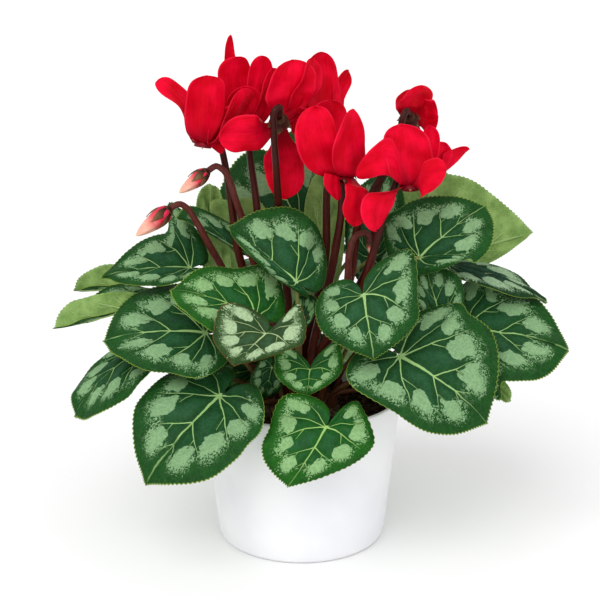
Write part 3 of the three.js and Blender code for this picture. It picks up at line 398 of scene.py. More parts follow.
def thicken(bm, faces, upward, thickness, under, ridge=lambda mark: 0):
    """Gives a sheet its thickness(mark). The side that faces upward keeps its
    material, the far side gets the material under and stands out by ridge(mark)."""
    marks = bm.verts.layers.float_vector[MARK]
    normals = bm.verts.layers.float_vector[NORMAL]
    bm.normal_update()
    sign = 1 if sum(f.normal.dot(upward) * f.calc_area() for f in faces) > 0 else -1
    upper = list({v for f in faces for v in f.verts})
    for v in upper:
        v[normals] = v.normal * sign
    before = set(bm.faces)
    made = bmesh.ops.extrude_face_region(bm, geom=faces, use_keep_orig=True)["geom"]
    lower = [g for g in made if isinstance(g, bmesh.types.BMVert)]
    for g in made:
        if isinstance(g, bmesh.types.BMFace):
            g.material_index = under
    for v in upper:
        v.co += v[normals] * (thickness(v[marks]) / 2)
    for v in lower:
        v.co -= v[normals] * (thickness(v[marks]) / 2 + ridge(v[marks]))
    bmesh.ops.recalc_face_normals(bm, faces=faces + [f for f in bm.faces if f not in before])


def tube(bm, points, radius, sides, steps, material=0):
    """Adds a round stalk along a smooth path, with radius(share) at each step."""
    centres = [on_path(points, i / steps) for i in range(steps + 1)]
    frames = []
    side = Vector((1, 0, 0))
    for i in range(steps + 1):
        way = (centres[min(steps, i + 1)] - centres[max(0, i - 1)]).normalized()
        side = (side - way * side.dot(way)).normalized()
        frames.append((side.copy(), way.cross(side)))

    def place(x, y):
        i = round(y * steps)
        a = math.pi * x
        spoke = frames[i][0] * math.cos(a) + frames[i][1] * math.sin(a)
        return centres[i] + spoke * radius(y), (x, y, 0)

    close(bm, sheet(bm, sides, steps, place, material))


def close(bm, faces):
    """Fills the open ends of a tube and turns its faces outwards."""
    before = set(bm.faces)
    rims = list({e for f in faces for e in f.edges if e.is_boundary})
    bmesh.ops.holes_fill(bm, edges=rims, sides=0)
    caps = [f for f in bm.faces if f not in before]
    for f in caps:
        f.material_index = faces[0].material_index
    bmesh.ops.recalc_face_normals(bm, faces=faces + caps)


def turned(bm, rows, segments, place, material=0):
    """Adds a body spun round Z from rows of radius and height, then set in place."""
    marks = bm.verts.layers.float_vector[MARK]
    before = set(bm.faces)
    profile = [bm.verts.new((r, 0, z)) for r, z in rows]
    for i, v in enumerate(profile):
        v[marks] = (0, i / (len(rows) - 1), 0)
    edges = [bm.edges.new(pair) for pair in zip(profile, profile[1:])]
    bmesh.ops.spin(
        bm, geom=profile + edges, axis=(0, 0, 1), cent=(0, 0, 0), dvec=(0, 0, 0),
        angle=2 * math.pi, steps=segments, use_merge=True,
    )
    made = {v for f in bm.faces if f not in before for v in f.verts}
    bmesh.ops.remove_doubles(bm, verts=list(made), dist=WELD)
    faces = [f for f in bm.faces if f not in before]
    for f in faces:
        f.material_index = material
    bmesh.ops.transform(bm, matrix=place, verts=list({v for f in faces for v in f.verts}))
    bmesh.ops.recalc_face_normals(bm, faces=faces)


def finished(node, bm, materials, name=None):
    """Makes the piece of a node: metres, smooth shading, its place in its own mesh."""
    name = name or node + "_grown"
    bmesh.ops.scale(bm, vec=(MM, MM, MM), verts=bm.verts)
    bm.verts.layers.float_vector.remove(bm.verts.layers.float_vector[NORMAL])
    mesh = bpy.data.meshes.new(name)
    bm.to_mesh(mesh)
    bm.free()
    for material in materials:
        mesh.materials.append(material)
    mesh.polygons.foreach_set("use_smooth", [True] * len(mesh.polygons))
    piece = bpy.data.objects.new(name, mesh)
    bpy.context.scene.collection.objects.link(piece)
    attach(piece, BODY)
    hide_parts(node)


# ---- materials ----
def linear(code):
    """sRGB hex text as a linear colour."""
    channels = [int(code[i:i + 2], 16) / 255 for i in (1, 3, 5)]
    return [c / 12.92 if c <= 0.04045 else ((c + 0.055) / 1.055) ** 2.4 for c in channels] + [1.0]


def add(tree, kind, *values, out=0, **settings):
    """Adds a node and gives one of its outputs. The kind may end with an operation.
    Inputs come in order or in one dict; each takes a value or another's output."""
    kind, *operation = kind.split()
    node = tree.nodes.new(kind if kind.startswith("Node") else "ShaderNode" + kind)
    if operation:
        node.operation = operation[0]
    for key, value in settings.items():
        setattr(node, key, value)
    inputs = values[0] if values and isinstance(values[0], dict) else dict(enumerate(values))
    for key, value in inputs.items():
        if isinstance(value, bpy.types.NodeSocket):
            tree.links.new(value, node.inputs[key])
        else:
            node.inputs[key].default_value = value
    return node.outputs[out] if node.outputs else None


def mask(tree, *factors):
    """Product of factors. A tuple is a smooth step: value, low, high, and what it
    gives at low and at high, which is 0 and 1 if it isn't said."""
    product = None
    for factor in factors:
        if isinstance(factor, tuple):
            factor = add(tree, "MapRange", *factor, interpolation_type="SMOOTHSTEP")
        if product is not None:
            factor = add(tree, "Math MULTIPLY", product, factor)
        product = factor
    return product


def coat(tree, under, over, *factors):
    """Lays one colour over another one, as a hex text or an output, through the mask
    of the factors."""
    colours = [linear(colour) if isinstance(colour, str) else colour for colour in (under, over)]
    # A mix of colours takes them at its inputs 6 and 7 and gives them at its output 2.
    inputs = {0: mask(tree, *factors), 6: colours[0], 7: colours[1]}
    return add(tree, "Mix", inputs, out=2, data_type="RGBA")


def begun(name):
    """A new material: itself, its node tree, the place in the object in metres, and
    the mark's x, y and z."""
    material = bpy.data.materials.new(name)
    material.use_nodes = True
    tree = material.node_tree
    tree.nodes.clear()
    mark = add(tree, "Attribute", out="Vector", attribute_name=MARK)
    split = add(tree, "SeparateXYZ", mark).node.outputs
    return material, tree, add(tree, "TexCoord", out="Object"), *split


def ended(material, colour, roughness, relief, more):
    """Gives the material its surface; relief and more are the inputs of its bumps, whose
    distance is in metres, and of its shader."""
    tree = material.node_tree
    normal = add(tree, "Bump", relief)
    inputs = {"Base Color": colour, "Roughness": roughness, "Normal": normal, **more}
    add(tree, "OutputMaterial", add(tree, "BsdfPrincipled", inputs))
    return material


# Veins of the right half of a leaf whose length is 1: start, end, half widths.
VEINS = [
    (0.0, -0.02, 0.0, 0.4, 0.015, 0.009),
    (0.0, 0.4, 0.0, 1.0, 0.009, 0.003),
    (0.0, 0.0, 0.19, 0.12, 0.01, 0.006),
    (0.19, 0.12, 0.33, 0.24, 0.006, 0.004),
    (0.33, 0.24, 0.44, 0.34, 0.004, 0.0015),
    (0.19, 0.12, 0.23, 0.27, 0.004, 0.002),
    (0.0, 0.0, 0.17, -0.01, 0.008, 0.005),
    (0.17, -0.01, 0.31, 0.03, 0.005, 0.003),
    (0.31, 0.03, 0.43, 0.04, 0.003, 0.001),
    (0.0, 0.0, 0.12, -0.13, 0.007, 0.004),
    (0.12, -0.13, 0.22, -0.2, 0.004, 0.0015),
    (0.0, 0.34, 0.13, 0.46, 0.006, 0.004),
    (0.13, 0.46, 0.24, 0.55, 0.004, 0.0015),
    (0.13, 0.46, 0.13, 0.55, 0.003, 0.001),
    (0.0, 0.58, 0.07, 0.71, 0.004, 0.0015),
]
# Silver patches of that half, which lie between the veins: centre and radii.
PATCHES = [
    (0.29, -0.11, 0.085, 0.055),
    (0.355, 0.125, 0.068, 0.1),
    (0.29, 0.385, 0.078, 0.12),
    (0.15, 0.63, 0.06, 0.115),
]
LEAF_HALF = 0.55  # half width of that leaf


def vein_edge(tree, point, x0, y0, x1, y1, w0, w1):
    """Distance from the point to the edge of a vein that runs thinner."""
    way = (x1 - x0, y1 - y0, 0)
    off = add(tree, "VectorMath SUBTRACT", point, (x0, y0, 0))
    dot = add(tree, "VectorMath DOT_PRODUCT", off, way, out="Value")
    per_length2 = 1 / (way[0] ** 2 + way[1] ** 2)
    share = add(tree, "Math MULTIPLY", dot, per_length2, use_clamp=True)
    nearest = add(tree, "VectorMath SCALE", {0: way, "Scale": share})
    away = add(tree, "VectorMath DISTANCE", off, nearest, out="Value")
    width = add(tree, "Math MULTIPLY_ADD", share, w1 - w0, w0)
    return add(tree, "Math SUBTRACT", away, width)


def patch_edge(tree, point, x, y, rx, ry):
    """Distance from the point to the edge of a patch."""
    off = add(tree, "VectorMath SUBTRACT", point, (x, y, 0))
    off = add(tree, "VectorMath DIVIDE", off, (rx, ry, 1))
    out = add(tree, "VectorMath LENGTH", off, out="Value")
    return add(tree, "Math MULTIPLY_ADD", out, (rx + ry) / 2, -(rx + ry) / 2)


def nearest_group(name, rows, distance):
    """Node group: a point of the leaf in, its smallest distance out, below 0 inside."""
    group = bpy.data.node_groups.new(name, "ShaderNodeTree")
    group.interface.new_socket("Point", in_out="INPUT", socket_type="NodeSocketVector")
    group.interface.new_socket("Edge", in_out="OUTPUT", socket_type="NodeSocketFloat")
    point = add(group, "NodeGroupInput")
    nearest = distance(group, point, *rows[0])
    for row in rows[1:]:
        nearest = add(group, "Math MINIMUM", nearest, distance(group, point, *row))
    add(group, "NodeGroupOutput", nearest)
    return group


def vein_gap(x, y):
    """Distance from a point of the leaf to the nearest vein."""
    best = 1.0
    for x0, y0, x1, y1, _, _ in VEINS:
        wx, wy = x1 - x0, y1 - y0
        share = min(1.0, max(0.0, ((x - x0) * wx + (y - y0) * wy) / (wx * wx + wy * wy)))
        best = min(best, math.hypot(x - x0 - wx * share, y - y0 - wy * share))
    return best


veins = nearest_group("leaf_veins", VEINS, vein_edge)
patches = nearest_group("leaf_patches", PATCHES, patch_edge)
CELL = 0.0034  # metres across the cells that the finest veins close


def leaf_begun(name, bend):
    """A leaf's material: itself, its tree, the place, the share of the way from heart
    to rim, the point on the half leaf, and the distances to a vein and a cell's edge."""
    material, tree, place, x, y, share = begun(name)
    # The veins wander by about 1.5 mm in every 12 mm.
    wander = add(tree, "TexNoise", {"Vector": place, "Scale": 1 / 0.012, "Detail": 2.0}, out="Color")
    shift = add(tree, "VectorMath SUBTRACT", wander, (0.5, 0.5, 0.5))
    shift = add(tree, "VectorMath SCALE", {0: shift, "Scale": bend})
    moved = add(tree, "VectorMath ADD", add(tree, "CombineXYZ", x, y), shift)
    across, along, _ = add(tree, "SeparateXYZ", moved).node.outputs
    half = add(tree, "Math ABSOLUTE", across)
    edge = add(tree, "Group", add(tree, "CombineXYZ", half, along), node_tree=veins)
    cell = add(tree, "TexVoronoi", {"Vector": place, "Scale": 1 / CELL}, feature="DISTANCE_TO_EDGE")
    return material, tree, place, share, (half, along), edge, cell


# Living leaf, upper side: a dark, slightly waxy skin, puffed between pale sunken
# veins, with silver patches where air lies under the skin, round on the side of
# the heart and torn to lace on the side of the rim.
def leaf_top(name, inner, outer, silver, vein, rim, grow=0.0, lace=1.0):
    material, tree, place, share, half_point, edge, cell = leaf_begun(name, bend=0.04)
    spot = add(tree, "Group", add(tree, "CombineXYZ", *half_point), node_tree=patches)
    # Rays from the heart to the rim, about 1 mm wide and 6 mm long.
    angle = add(tree, "Math ARCTAN2", *half_point)
    wide = add(tree, "Math MULTIPLY", angle, 26.0)
    ray = add(tree, "CombineXYZ", wide, add(tree, "Math MULTIPLY", share, 7.0))
    drift = add(tree, "VectorMath SCALE", {0: place, "Scale": 1 / 0.02})
    ray = add(tree, "VectorMath ADD", ray, drift)
    rays = add(tree, "TexNoise", {"Vector": ray, "Scale": 1.0, "Detail": 3.0})
    mottle, grit, fine = (
        add(tree, "TexNoise", {"Vector": place, "Scale": 1 / size, "Detail": 3.0})
        for size in (0.008, 0.0022, 0.0014))
    torn = add(tree, "Math MULTIPLY", rays, 0.4)
    torn = add(tree, "Math MULTIPLY_ADD", fine, 0.6, torn)
    thread = mask(tree, (cell, 0.0, 0.09, 1.0, 0.0))

    green = coat(tree, inner, outer, (share, 0.6, 0.84))
    # Painted highlight: the puffed skin between the veins is painted lighter and bluer, as if it caught
    # light.
    green = coat(tree, green, "#3A6E52", (edge, 0.015, 0.08, 0.0, 0.22), (share, 0.5, 0.75, 1.0, 0.0))
    # Painted shade: dark green laid over the leaf in random patches by the mottle.
    green = coat(tree, green, "#0B2412", (mottle, 0.35, 0.7, 0.0, 0.35))
    green = coat(tree, green, vein, thread, 0.035)

    # A patch's edge is swollen by the mottle, and torn on its outer side.
    swell = add(tree, "Math MULTIPLY_ADD", mottle, -0.18, 0.09 - grow)
    field = add(tree, "Math ADD", spot, swell)
    tear = mask(tree, add(tree, "Math SUBTRACT", torn, 0.5), (share, 0.66, 0.78))
    field = add(tree, "Math MULTIPLY_ADD", tear, 0.55, field)
    patch = mask(tree, (field, -0.004, 0.006, 1.0, 0.0), (edge, -0.002, 0.012))
    # Lace: flecks and threads carry the silver on past the patch.
    fringe = mask(
        tree, (field, 0.06, 0.15, 1.0, 0.0), (share, 0.62, 0.72), (share, 0.84, 0.93, 1.0, 0.0),
        (torn, 0.51, 0.54), lace)
    patch = add(tree, "Math MAXIMUM", patch, fringe)
    colour = coat(tree, green, silver, patch, (fine, 0.35, 0.65, 0.74, 1.0))

    rib = mask(tree, (edge, -0.003, 0.003, 1.0, 0.0))
    colour = coat(tree, colour, vein, rib, (share, 0.5, 1.0, 0.9, 0.45))
    colour = coat(tree, colour, rim, (share, 0.985, 0.999))
    height = add(tree, "Math MULTIPLY", rib, -0.8)
    height = add(tree, "Math MULTIPLY_ADD", thread, -0.25, height)
    height = add(tree, "Math MULTIPLY_ADD", grit, 0.25, height)
    gloss = add(tree, "Math MULTIPLY_ADD", grit, 0.2, 0.42)
    return ended(
        material, colour, gloss, {"Height": height, "Strength": 0.55, "Distance": 0.0006},
        {"IOR": 1.42, "Specular IOR Level": 0.13})


# Underside of a leaf: matt, pale, with the veins standing out.
def leaf_back(name, field, vein, blush):
    material, tree, place, _, _, edge, cell = leaf_begun(name, bend=0.05)
    mottle = add(tree, "TexNoise", {"Vector": place, "Scale": 1 / 0.01, "Detail": 3.0})
    thread = mask(tree, (cell, 0.0, 0.1, 1.0, 0.0))
    rib = mask(tree, (edge, -0.001, 0.006, 1.0, 0.0))
    colour = coat(tree, field, blush, (mottle, 0.35, 0.68, 0.0, 0.85))
    colour = coat(tree, colour, vein, thread, 0.25)
    colour = coat(tree, colour, vein, rib, 0.85)
    height = add(tree, "Math MULTIPLY_ADD", thread, 0.25, rib)
    return ended(
        material, colour, 0.58, {"Height": height, "Strength": 0.6, "Distance": 0.0007},
        {"IOR": 1.42, "Specular IOR Level": 0.3})


# Petal: thin, velvety tissue with fine lengthwise lines and dark at the throat, with
# painted shade that deepens towards the root and a painted highlight where the edge is thin.
def petal_skin():
    material, tree, place, across, along, petal = begun("velvety_red_petal")
    cloud = add(tree, "TexNoise", {"Vector": place, "Scale": 1 / 0.014, "Detail": 3.0})
    grain = add(tree, "TexNoise", {"Vector": place, "Scale": 1 / 0.0006, "Detail": 2.0})
    # About 24 lines across a petal of 24 mm.
    spread = add(tree, "Math MULTIPLY", along, 0.22)
    spread = add(tree, "CombineXYZ", across, spread, petal)
    lines = add(tree, "TexNoise", {"Vector": spread, "Scale": 13.0, "Detail": 3.0})
    side = add(tree, "Math ABSOLUTE", across)
    colour = coat(tree, "#D0001C", "#F00632", (cloud, 0.35, 0.68))
    for hue, *factors in (
        ("#A00016", (lines, 0.42, 0.7, 0.0, 0.24)),
        ("#FA1C3C", (lines, 0.34, 0.46, 0.06, 0.0)),
        # painted highlight along the thin edges
        ("#FF2C52", (side, 0.88, 1.0), 0.4),
        # painted shade, deepening from the middle of the petal towards the root
        ("#A20016", (along, 0.1, 0.75, 0.38, 0.0)),
        ("#7E0012", (along, 0.02, 0.26, 0.85, 0.0)),
    ):
        colour = coat(tree, colour, hue, *factors)
    height = add(tree, "Math MULTIPLY_ADD", grain, 0.25, lines)
    return ended(
        material, colour, 0.52, {"Height": height, "Strength": 0.3, "Distance": 0.0005}, {
            "IOR": 1.4, "Specular IOR Level": 0.07, "Subsurface Weight": 0.08,
            "Subsurface Radius": (0.004, 0.0004, 0.0004), "Subsurface Scale": 1.0,
            "Sheen Weight": 0.1, "Sheen Roughness": 0.4, "Sheen Tint": linear("#FF1440"),
        })


# Stalk: fleshy, faintly hairy skin that changes colour along its length.
def stalk_skin(name, low, high, streak, gloss=0.42):
    material, tree, place, _, along, _ = begun(name)
    stretched = add(tree, "Mapping", {"Vector": place, "Scale": (1.0, 1.0, 0.15)})
    # Streaks about 1 mm wide run up the stalk.
    streaks = add(tree, "TexNoise", {"Vector": stretched, "Scale": 1 / 0.001, "Detail": 3.0})
    cloud = add(tree, "TexNoise", {"Vector": place, "Scale": 1 / 0.011, "Detail": 2.0})
    height = add(tree, "Math SUBTRACT", cloud, 0.5)
    height = add(tree, "Math MULTIPLY_ADD", height, 0.5, along)
    colour = coat(tree, low, high, (height, 0.15, 0.95))
    colour = coat(tree, colour, streak, (streaks, 0.45, 0.7, 0.0, 0.6))
    return ended(
        material, colour, gloss, {"Height": streaks, "Strength": 0.35, "Distance": 0.0004},
        {"IOR": 1.42, "Specular IOR Level": 0.22})


# Furled bud: silky tissue, cream at the point and crimson lower down.
def bud_skin():
    material, tree, place, _, along, furl = begun("silky_furled_bud")
    cloud = add(tree, "TexNoise", {"Vector": place, "Scale": 1 / 0.006, "Detail": 3.0})
    spread = add(tree, "CombineXYZ", furl, add(tree, "Math MULTIPLY", along, 0.3))
    lines = add(tree, "TexNoise", {"Vector": spread, "Scale": 11.0, "Detail": 2.0})
    height = add(tree, "Math SUBTRACT", cloud, 0.5)
    height = add(tree, "Math MULTIPLY_ADD", height, 0.3, along)
    colour = coat(tree, "#F6BFA6", "#E01B44", (height, 0.3, 0.72, 1.0, 0.0))
    colour = coat(tree, colour, "#C81438", (lines, 0.4, 0.62, 0.0, 0.35))
    colour = coat(tree, colour, "#EFC9A0", (along, 0.86, 1.0))
    return ended(
        material, colour, 0.42, {"Height": lines, "Strength": 0.4, "Distance": 0.0005}, {
            "IOR": 1.4, "Subsurface Weight": 0.15, "Subsurface Radius": (0.004, 0.001, 0.0008),
            "Subsurface Scale": 1.0, "Sheen Weight": 0.2, "Sheen Roughness": 0.4,
        })


# Injection-moulded polypropylene pot: white, softly glossy, with a skin that is
# not quite even, and painted shade that greys it near the ground.
def moulded_white():
    material, tree, place, *_ = begun("moulded_white_polypropylene")
    skin, cloud = (
        add(tree, "TexNoise", {"Vector": place, "Scale": 1 / size, "Detail": 3.0}) for size in (0.0012, 0.05))
    height = add(tree, "SeparateXYZ", place, out=2)
    colour = coat(tree, "#F4F4F6", "#ECECF1", (cloud, 0.35, 0.7))
    # Painted shade: greyer over the lowest 20 mm, towards the ground.
    colour = coat(tree, colour, "#D9DADF", (height, 0.0, 0.02, 0.18, 0.0))
    gloss = add(tree, "Math MULTIPLY_ADD", skin, 0.12, 0.27)
    gloss = add(tree, "Math MULTIPLY_ADD", cloud, 0.1, gloss)
    return ended(
        material, colour, gloss, {"Height": skin, "Strength": 0.06, "Distance": 0.0003}, {
            "IOR": 1.49, "Subsurface Weight": 0.05, "Subsurface Radius": (0.003, 0.003, 0.003),
            "Subsurface Scale": 1.0,
        })


# Peat compost: dark fibrous crumbs, darker in the hollows.
def compost(name, dark, light):
    material, tree, place, *_ = begun(name)
    crumb = add(tree, "TexNoise", {"Vector": place, "Scale": 1 / 0.0025, "Detail": 6.0, "Roughness": 0.7})
    pit = add(tree, "TexVoronoi", {"Vector": place, "Scale": 1 / 0.0022})
    height = add(tree, "Math SUBTRACT", crumb, pit)
    colour = coat(tree, dark, light, (crumb, 0.38, 0.7))
    return ended(
        material, colour, 0.92, {"Height": height, "Strength": 0.9, "Distance": 0.0012},
        {"Specular IOR Level": 0.2})


# Tuber: dry corky bark, cracked in plates of about 5 mm.
def cork():
    material, tree, place, *_ = begun("corky_tuber_bark")
    plates = add(tree, "TexVoronoi", {"Vector": place, "Scale": 1 / 0.005}, feature="DISTANCE_TO_EDGE")
    fine = add(tree, "TexNoise", {"Vector": place, "Scale": 1 / 0.002, "Detail": 5.0})
    crack = mask(tree, (plates, 0.0, 0.08, 0.8, 0.0))
    colour = coat(tree, coat(tree, "#3B2A1E", "#7A6048", (fine, 0.35, 0.7)), "#1D130C", crack)
    height = add(tree, "Math MULTIPLY_ADD", crack, -1.0, fine)
    return ended(
        material, colour, 0.85, {"Height": height, "Strength": 0.8, "Distance": 0.001},
        {"Specular IOR Level": 0.25})


LEAF_DARK = leaf_top("waxy_leaf_blue_green", "#16461F", "#174A18", "#86AC7C", "#A2CA80", "#7F9A3E")
LEAF_FRESH = leaf_top("waxy_leaf_fresh_green", "#145218", "#1A5812", "#8CB67A", "#A4CE76", "#8FAE42")
LEAF_OLIVE = leaf_top(
    "waxy_leaf_olive", "#2A4420", "#2C4A20", "#A8C296", "#B0C890", "#9A5E36", 0.02, 0.5)
LEAF_STREAKED = leaf_top(
    "waxy_leaf_streaked", "#1B3B2A", "#17391C", "#98B690", "#A8C494", "#7F9A3E", 0.03)
LEAF_YOUNG = leaf_top("waxy_leaf_young", "#17401B", "#133A14", "#80AE72", "#8EBA6A", "#86A446")
UNDER_PALE = leaf_back("matt_leaf_underside_pale", "#6C8E45", "#A4BE7A", "#8FB062")
UNDER_DEEP = leaf_back("matt_leaf_underside", "#5F8A48", "#93B36C", "#6E8A50")
PETIOLE = stalk_skin("fleshy_petiole", "#5C3420", "#7E8A4A", "#5A2E1C")
SCAPE = stalk_skin("fleshy_flower_stalk", "#52190A", "#3C0E08", "#260803", 0.38)
BUD_STALK = stalk_skin("fleshy_bud_stalk", "#5A2418", "#5E2A24", "#34120C")
SEPAL = stalk_skin("mottled_sepal", "#35120E", "#80653E", "#3E2214", 0.5)
THROAT = stalk_skin("velvety_dark_throat", "#8E0A22", "#6A0014", "#4A0010", 0.5)
ANTHER = stalk_skin("waxy_anther_cone", "#C89A50", "#B83048", "#A87838", 0.45)
PETAL_RED = petal_skin()
BUD_SKIN = bud_skin()
POT_WHITE = moulded_white()
PEAT = compost("fibrous_peat", "#1A100A", "#4A3122")
BARK_CHIP = compost("bark_chip", "#3A2416", "#7A5638")
CORK = cork()


# ---- leaves ----
def all_leaves():
    """Every leaf by its name: those of the table, and those at the back, which fall
    outwards from the middle."""
    made = {}
    for name, *row in LEAVES:
        more = row[len(LEAF_KEYS)] if len(row) > len(LEAF_KEYS) else {}
        made[name] = {**dict(zip(LEAF_KEYS, row)), "seed": int(name.split("_")[1]), **more}
    for name, azimuth, r, z, length, width, fall, roll, foot in BACK:
        a, p = math.radians(azimuth), math.radians(fall)
        out = Vector((math.cos(a) * math.cos(p), math.sin(a) * math.cos(p), -math.sin(p)))
        side = Quaternion(out, math.radians(roll)) @ Vector((-math.sin(a), math.cos(a), 0)) * (width / 2)
        heart = around(a, r, z)
        mid = heart + out * (length * MID_U)
        made[name] = {
            "heart": heart, "tip": heart + out * length, "left": mid + side, "right": mid - side,
            "foot": foot, "bow": 6, "seed": azimuth, "up": True,
        }
    return made


FULL_LEAF = 45  # fine forms are smaller on a leaf that is shorter than this
RIM_WAVE = 1.2  # height of the waves of the rim
RIM_WAVES = 3
TOOTH_PITCH = 1.8
TOOTH = 0.62  # how far a tooth stands out
RING_PITCH = 2.4  # between the rings of a blade's mesh
PUFF = 1.1  # how far the skin rises between the veins
PUFF_REACH = 0.1  # share of the leaf's length in which it does
EDGE_ROLL = 1.1  # how far the rim turns down
RIPPLE = 0.9
RIM_RIPPLE = 0.5
VEIN_RIDGE = 0.5  # how far a vein stands out of the underside
RIDGE_REACH = 0.022
STALK_SIDES, STALK_STEPS = 10, 40


class LeafFrame:
    """The lines that a blade hangs on: heart, midrib, half widths and normal."""

    def __init__(self, leaf):
        self.leaf = leaf
        self.heart, tip = at(leaf["heart"]), at(leaf["tip"])
        self.along = tip - self.heart
        self.length = self.along.length
        mid = self.heart.lerp(tip, MID_U)
        back = self.heart + self.along * LOBE_U
        self.half = [at(leaf[side]) - mid for side in ("left", "right")]
        self.lobes = [
            (at(leaf[key]) - back) * 2 if key in leaf else half.copy()
            for key, half in zip(("lobe_left", "lobe_right"), self.half)
        ]
        self.normal = (self.half[1] - self.half[0]).cross(self.along).normalized()
        facing = self.normal.dot(EYE - self.heart) * leaf.get("face", 1)
        if (self.normal.z if leaf.get("up") else facing) < 0:
            self.normal.negate()
        self.size = min(1.0, self.length / FULL_LEAF)

    def point(self, u, v, edge, turn):
        """Point of the blade: u along the midrib, v across from -1 to 1, edge 0 at
        the heart and 1 on the rim, turn the share of the way round the rim."""
        leaf = self.leaf
        k = 0 if v < 0 else 1
        mix = smooth((u - LOBE_U) / (MID_U - LOBE_U))
        narrow = 1 - leaf.get("taper", 0) * max(0.0, u)
        reach = self.lobes[k].lerp(self.half[k], mix) * (abs(v) * narrow)
        phase = leaf["seed"] * 1.7 + k * 2.1
        lift = (1 - (2 * u - 1) ** 2) * (1 - 0.3 * abs(v)) if u >= 0 else 4 * u * 0.7
        lift *= leaf["bow"]
        lift += RIM_WAVE * edge * edge * math.sin(2 * math.pi * RIM_WAVES * turn + phase)
        return self.heart + self.along * u + reach + self.normal * lift


def leaf_piece(name, leaf, top, under):
    f = LeafFrame(leaf)
    seed = Vector((leaf["seed"] * 3.7, 1.3, 0.4))
    rim = sum((f.half[k].length + f.length) for k in (0, 1)) * 0.95
    columns = max(40, round(rim / TOOTH_PITCH) * 2)  # two to a tooth
    rows = max(12, round(f.length / RING_PITCH))

    def place(x, r):
        turn = 1 - abs(x)
        w, u = outline(round(turn, 6))
        tooth = 0.0
        if r > 0.999 and turn > 0.02:
            tooth = TOOTH * f.size * (1 if round((x + 1) * columns / 2) % 2 else -0.6)
        grow = 1 + tooth / f.length + 0.012 * noise.noise(seed + Vector((x * 9, 0, 0))) * r
        sign = -1 if x < 0 else 1
        s = r * grow
        point = f.point(u * s, sign * w * s, r, turn)
        flat = (sign * w * s * LEAF_HALF, u * s)
        gap = min(PUFF_REACH, vein_gap(abs(flat[0]), flat[1])) / PUFF_REACH
        puff = PUFF * f.size * (1 - (1 - gap) ** 2) * smooth((1 - r) / 0.3)
        curl = EDGE_ROLL * f.size * smooth((r - 0.8) / 0.2) ** 2
        swell = noise.noise(seed + Vector((flat[0] * 5, flat[1] * 5, 2)))
        ripple = RIPPLE * f.size * swell * smooth(r / 0.5)
        swell = noise.noise(seed + Vector((x * 14, 5, 1)))
        fine = RIM_RIPPLE * f.size * swell * smooth((r - 0.6) / 0.4)
        return point + f.normal * (puff - curl + ripple + fine), (*flat, r)

    def thickness(mark):
        return BLADE * (1 - 0.4 * smooth((mark.z - 0.9) / 0.1))

    def ridge(mark):
        gap = vein_gap(abs(mark.x), mark.y)
        return VEIN_RIDGE * f.size * (1 - smooth(gap / RIDGE_REACH)) * (1 - smooth((mark.z - 0.7) / 0.3))

    bm = new_mesh()
    thicken(bm, sheet(bm, columns, rows, place), f.normal, thickness, 1, ridge)

    foot = foot_point(leaf["foot"])
    end = f.heart - f.normal * 0.3 + f.along * 0.03
    out = end - foot
    level = Vector((out.x, out.y, 0))
    points = [
        *footing(foot),
        foot + level * 0.28 + Vector((0, 0, max(9.0, out.z * 0.5))),
        foot + level * 0.66 + Vector((0, 0, out.z * 0.86 + out.length * 0.02)),
        end,
    ]
    r = leaf.get("stalk", PETIOLE_R)
    tube(bm, points, lambda t: r * (1 - 0.18 * t), STALK_SIDES, STALK_STEPS, 2)
    finished(name, bm, [top, under, PETIOLE])


# ---- flowers ----
TIP_U = 0.6  # where the round tip of a petal starts
PETAL_MESH = (20, 34)  # faces across and along
PETAL_BILLOW = 2.4
FULL_PETAL = 13  # half width under which a petal billows less
CUP_WALL = 0.7
SEPALS = 5
SEPAL_THICKNESS = 0.4
SEPAL_MESH = (6, 12)
STEM_SIDES, STEM_STEPS = 12, 90


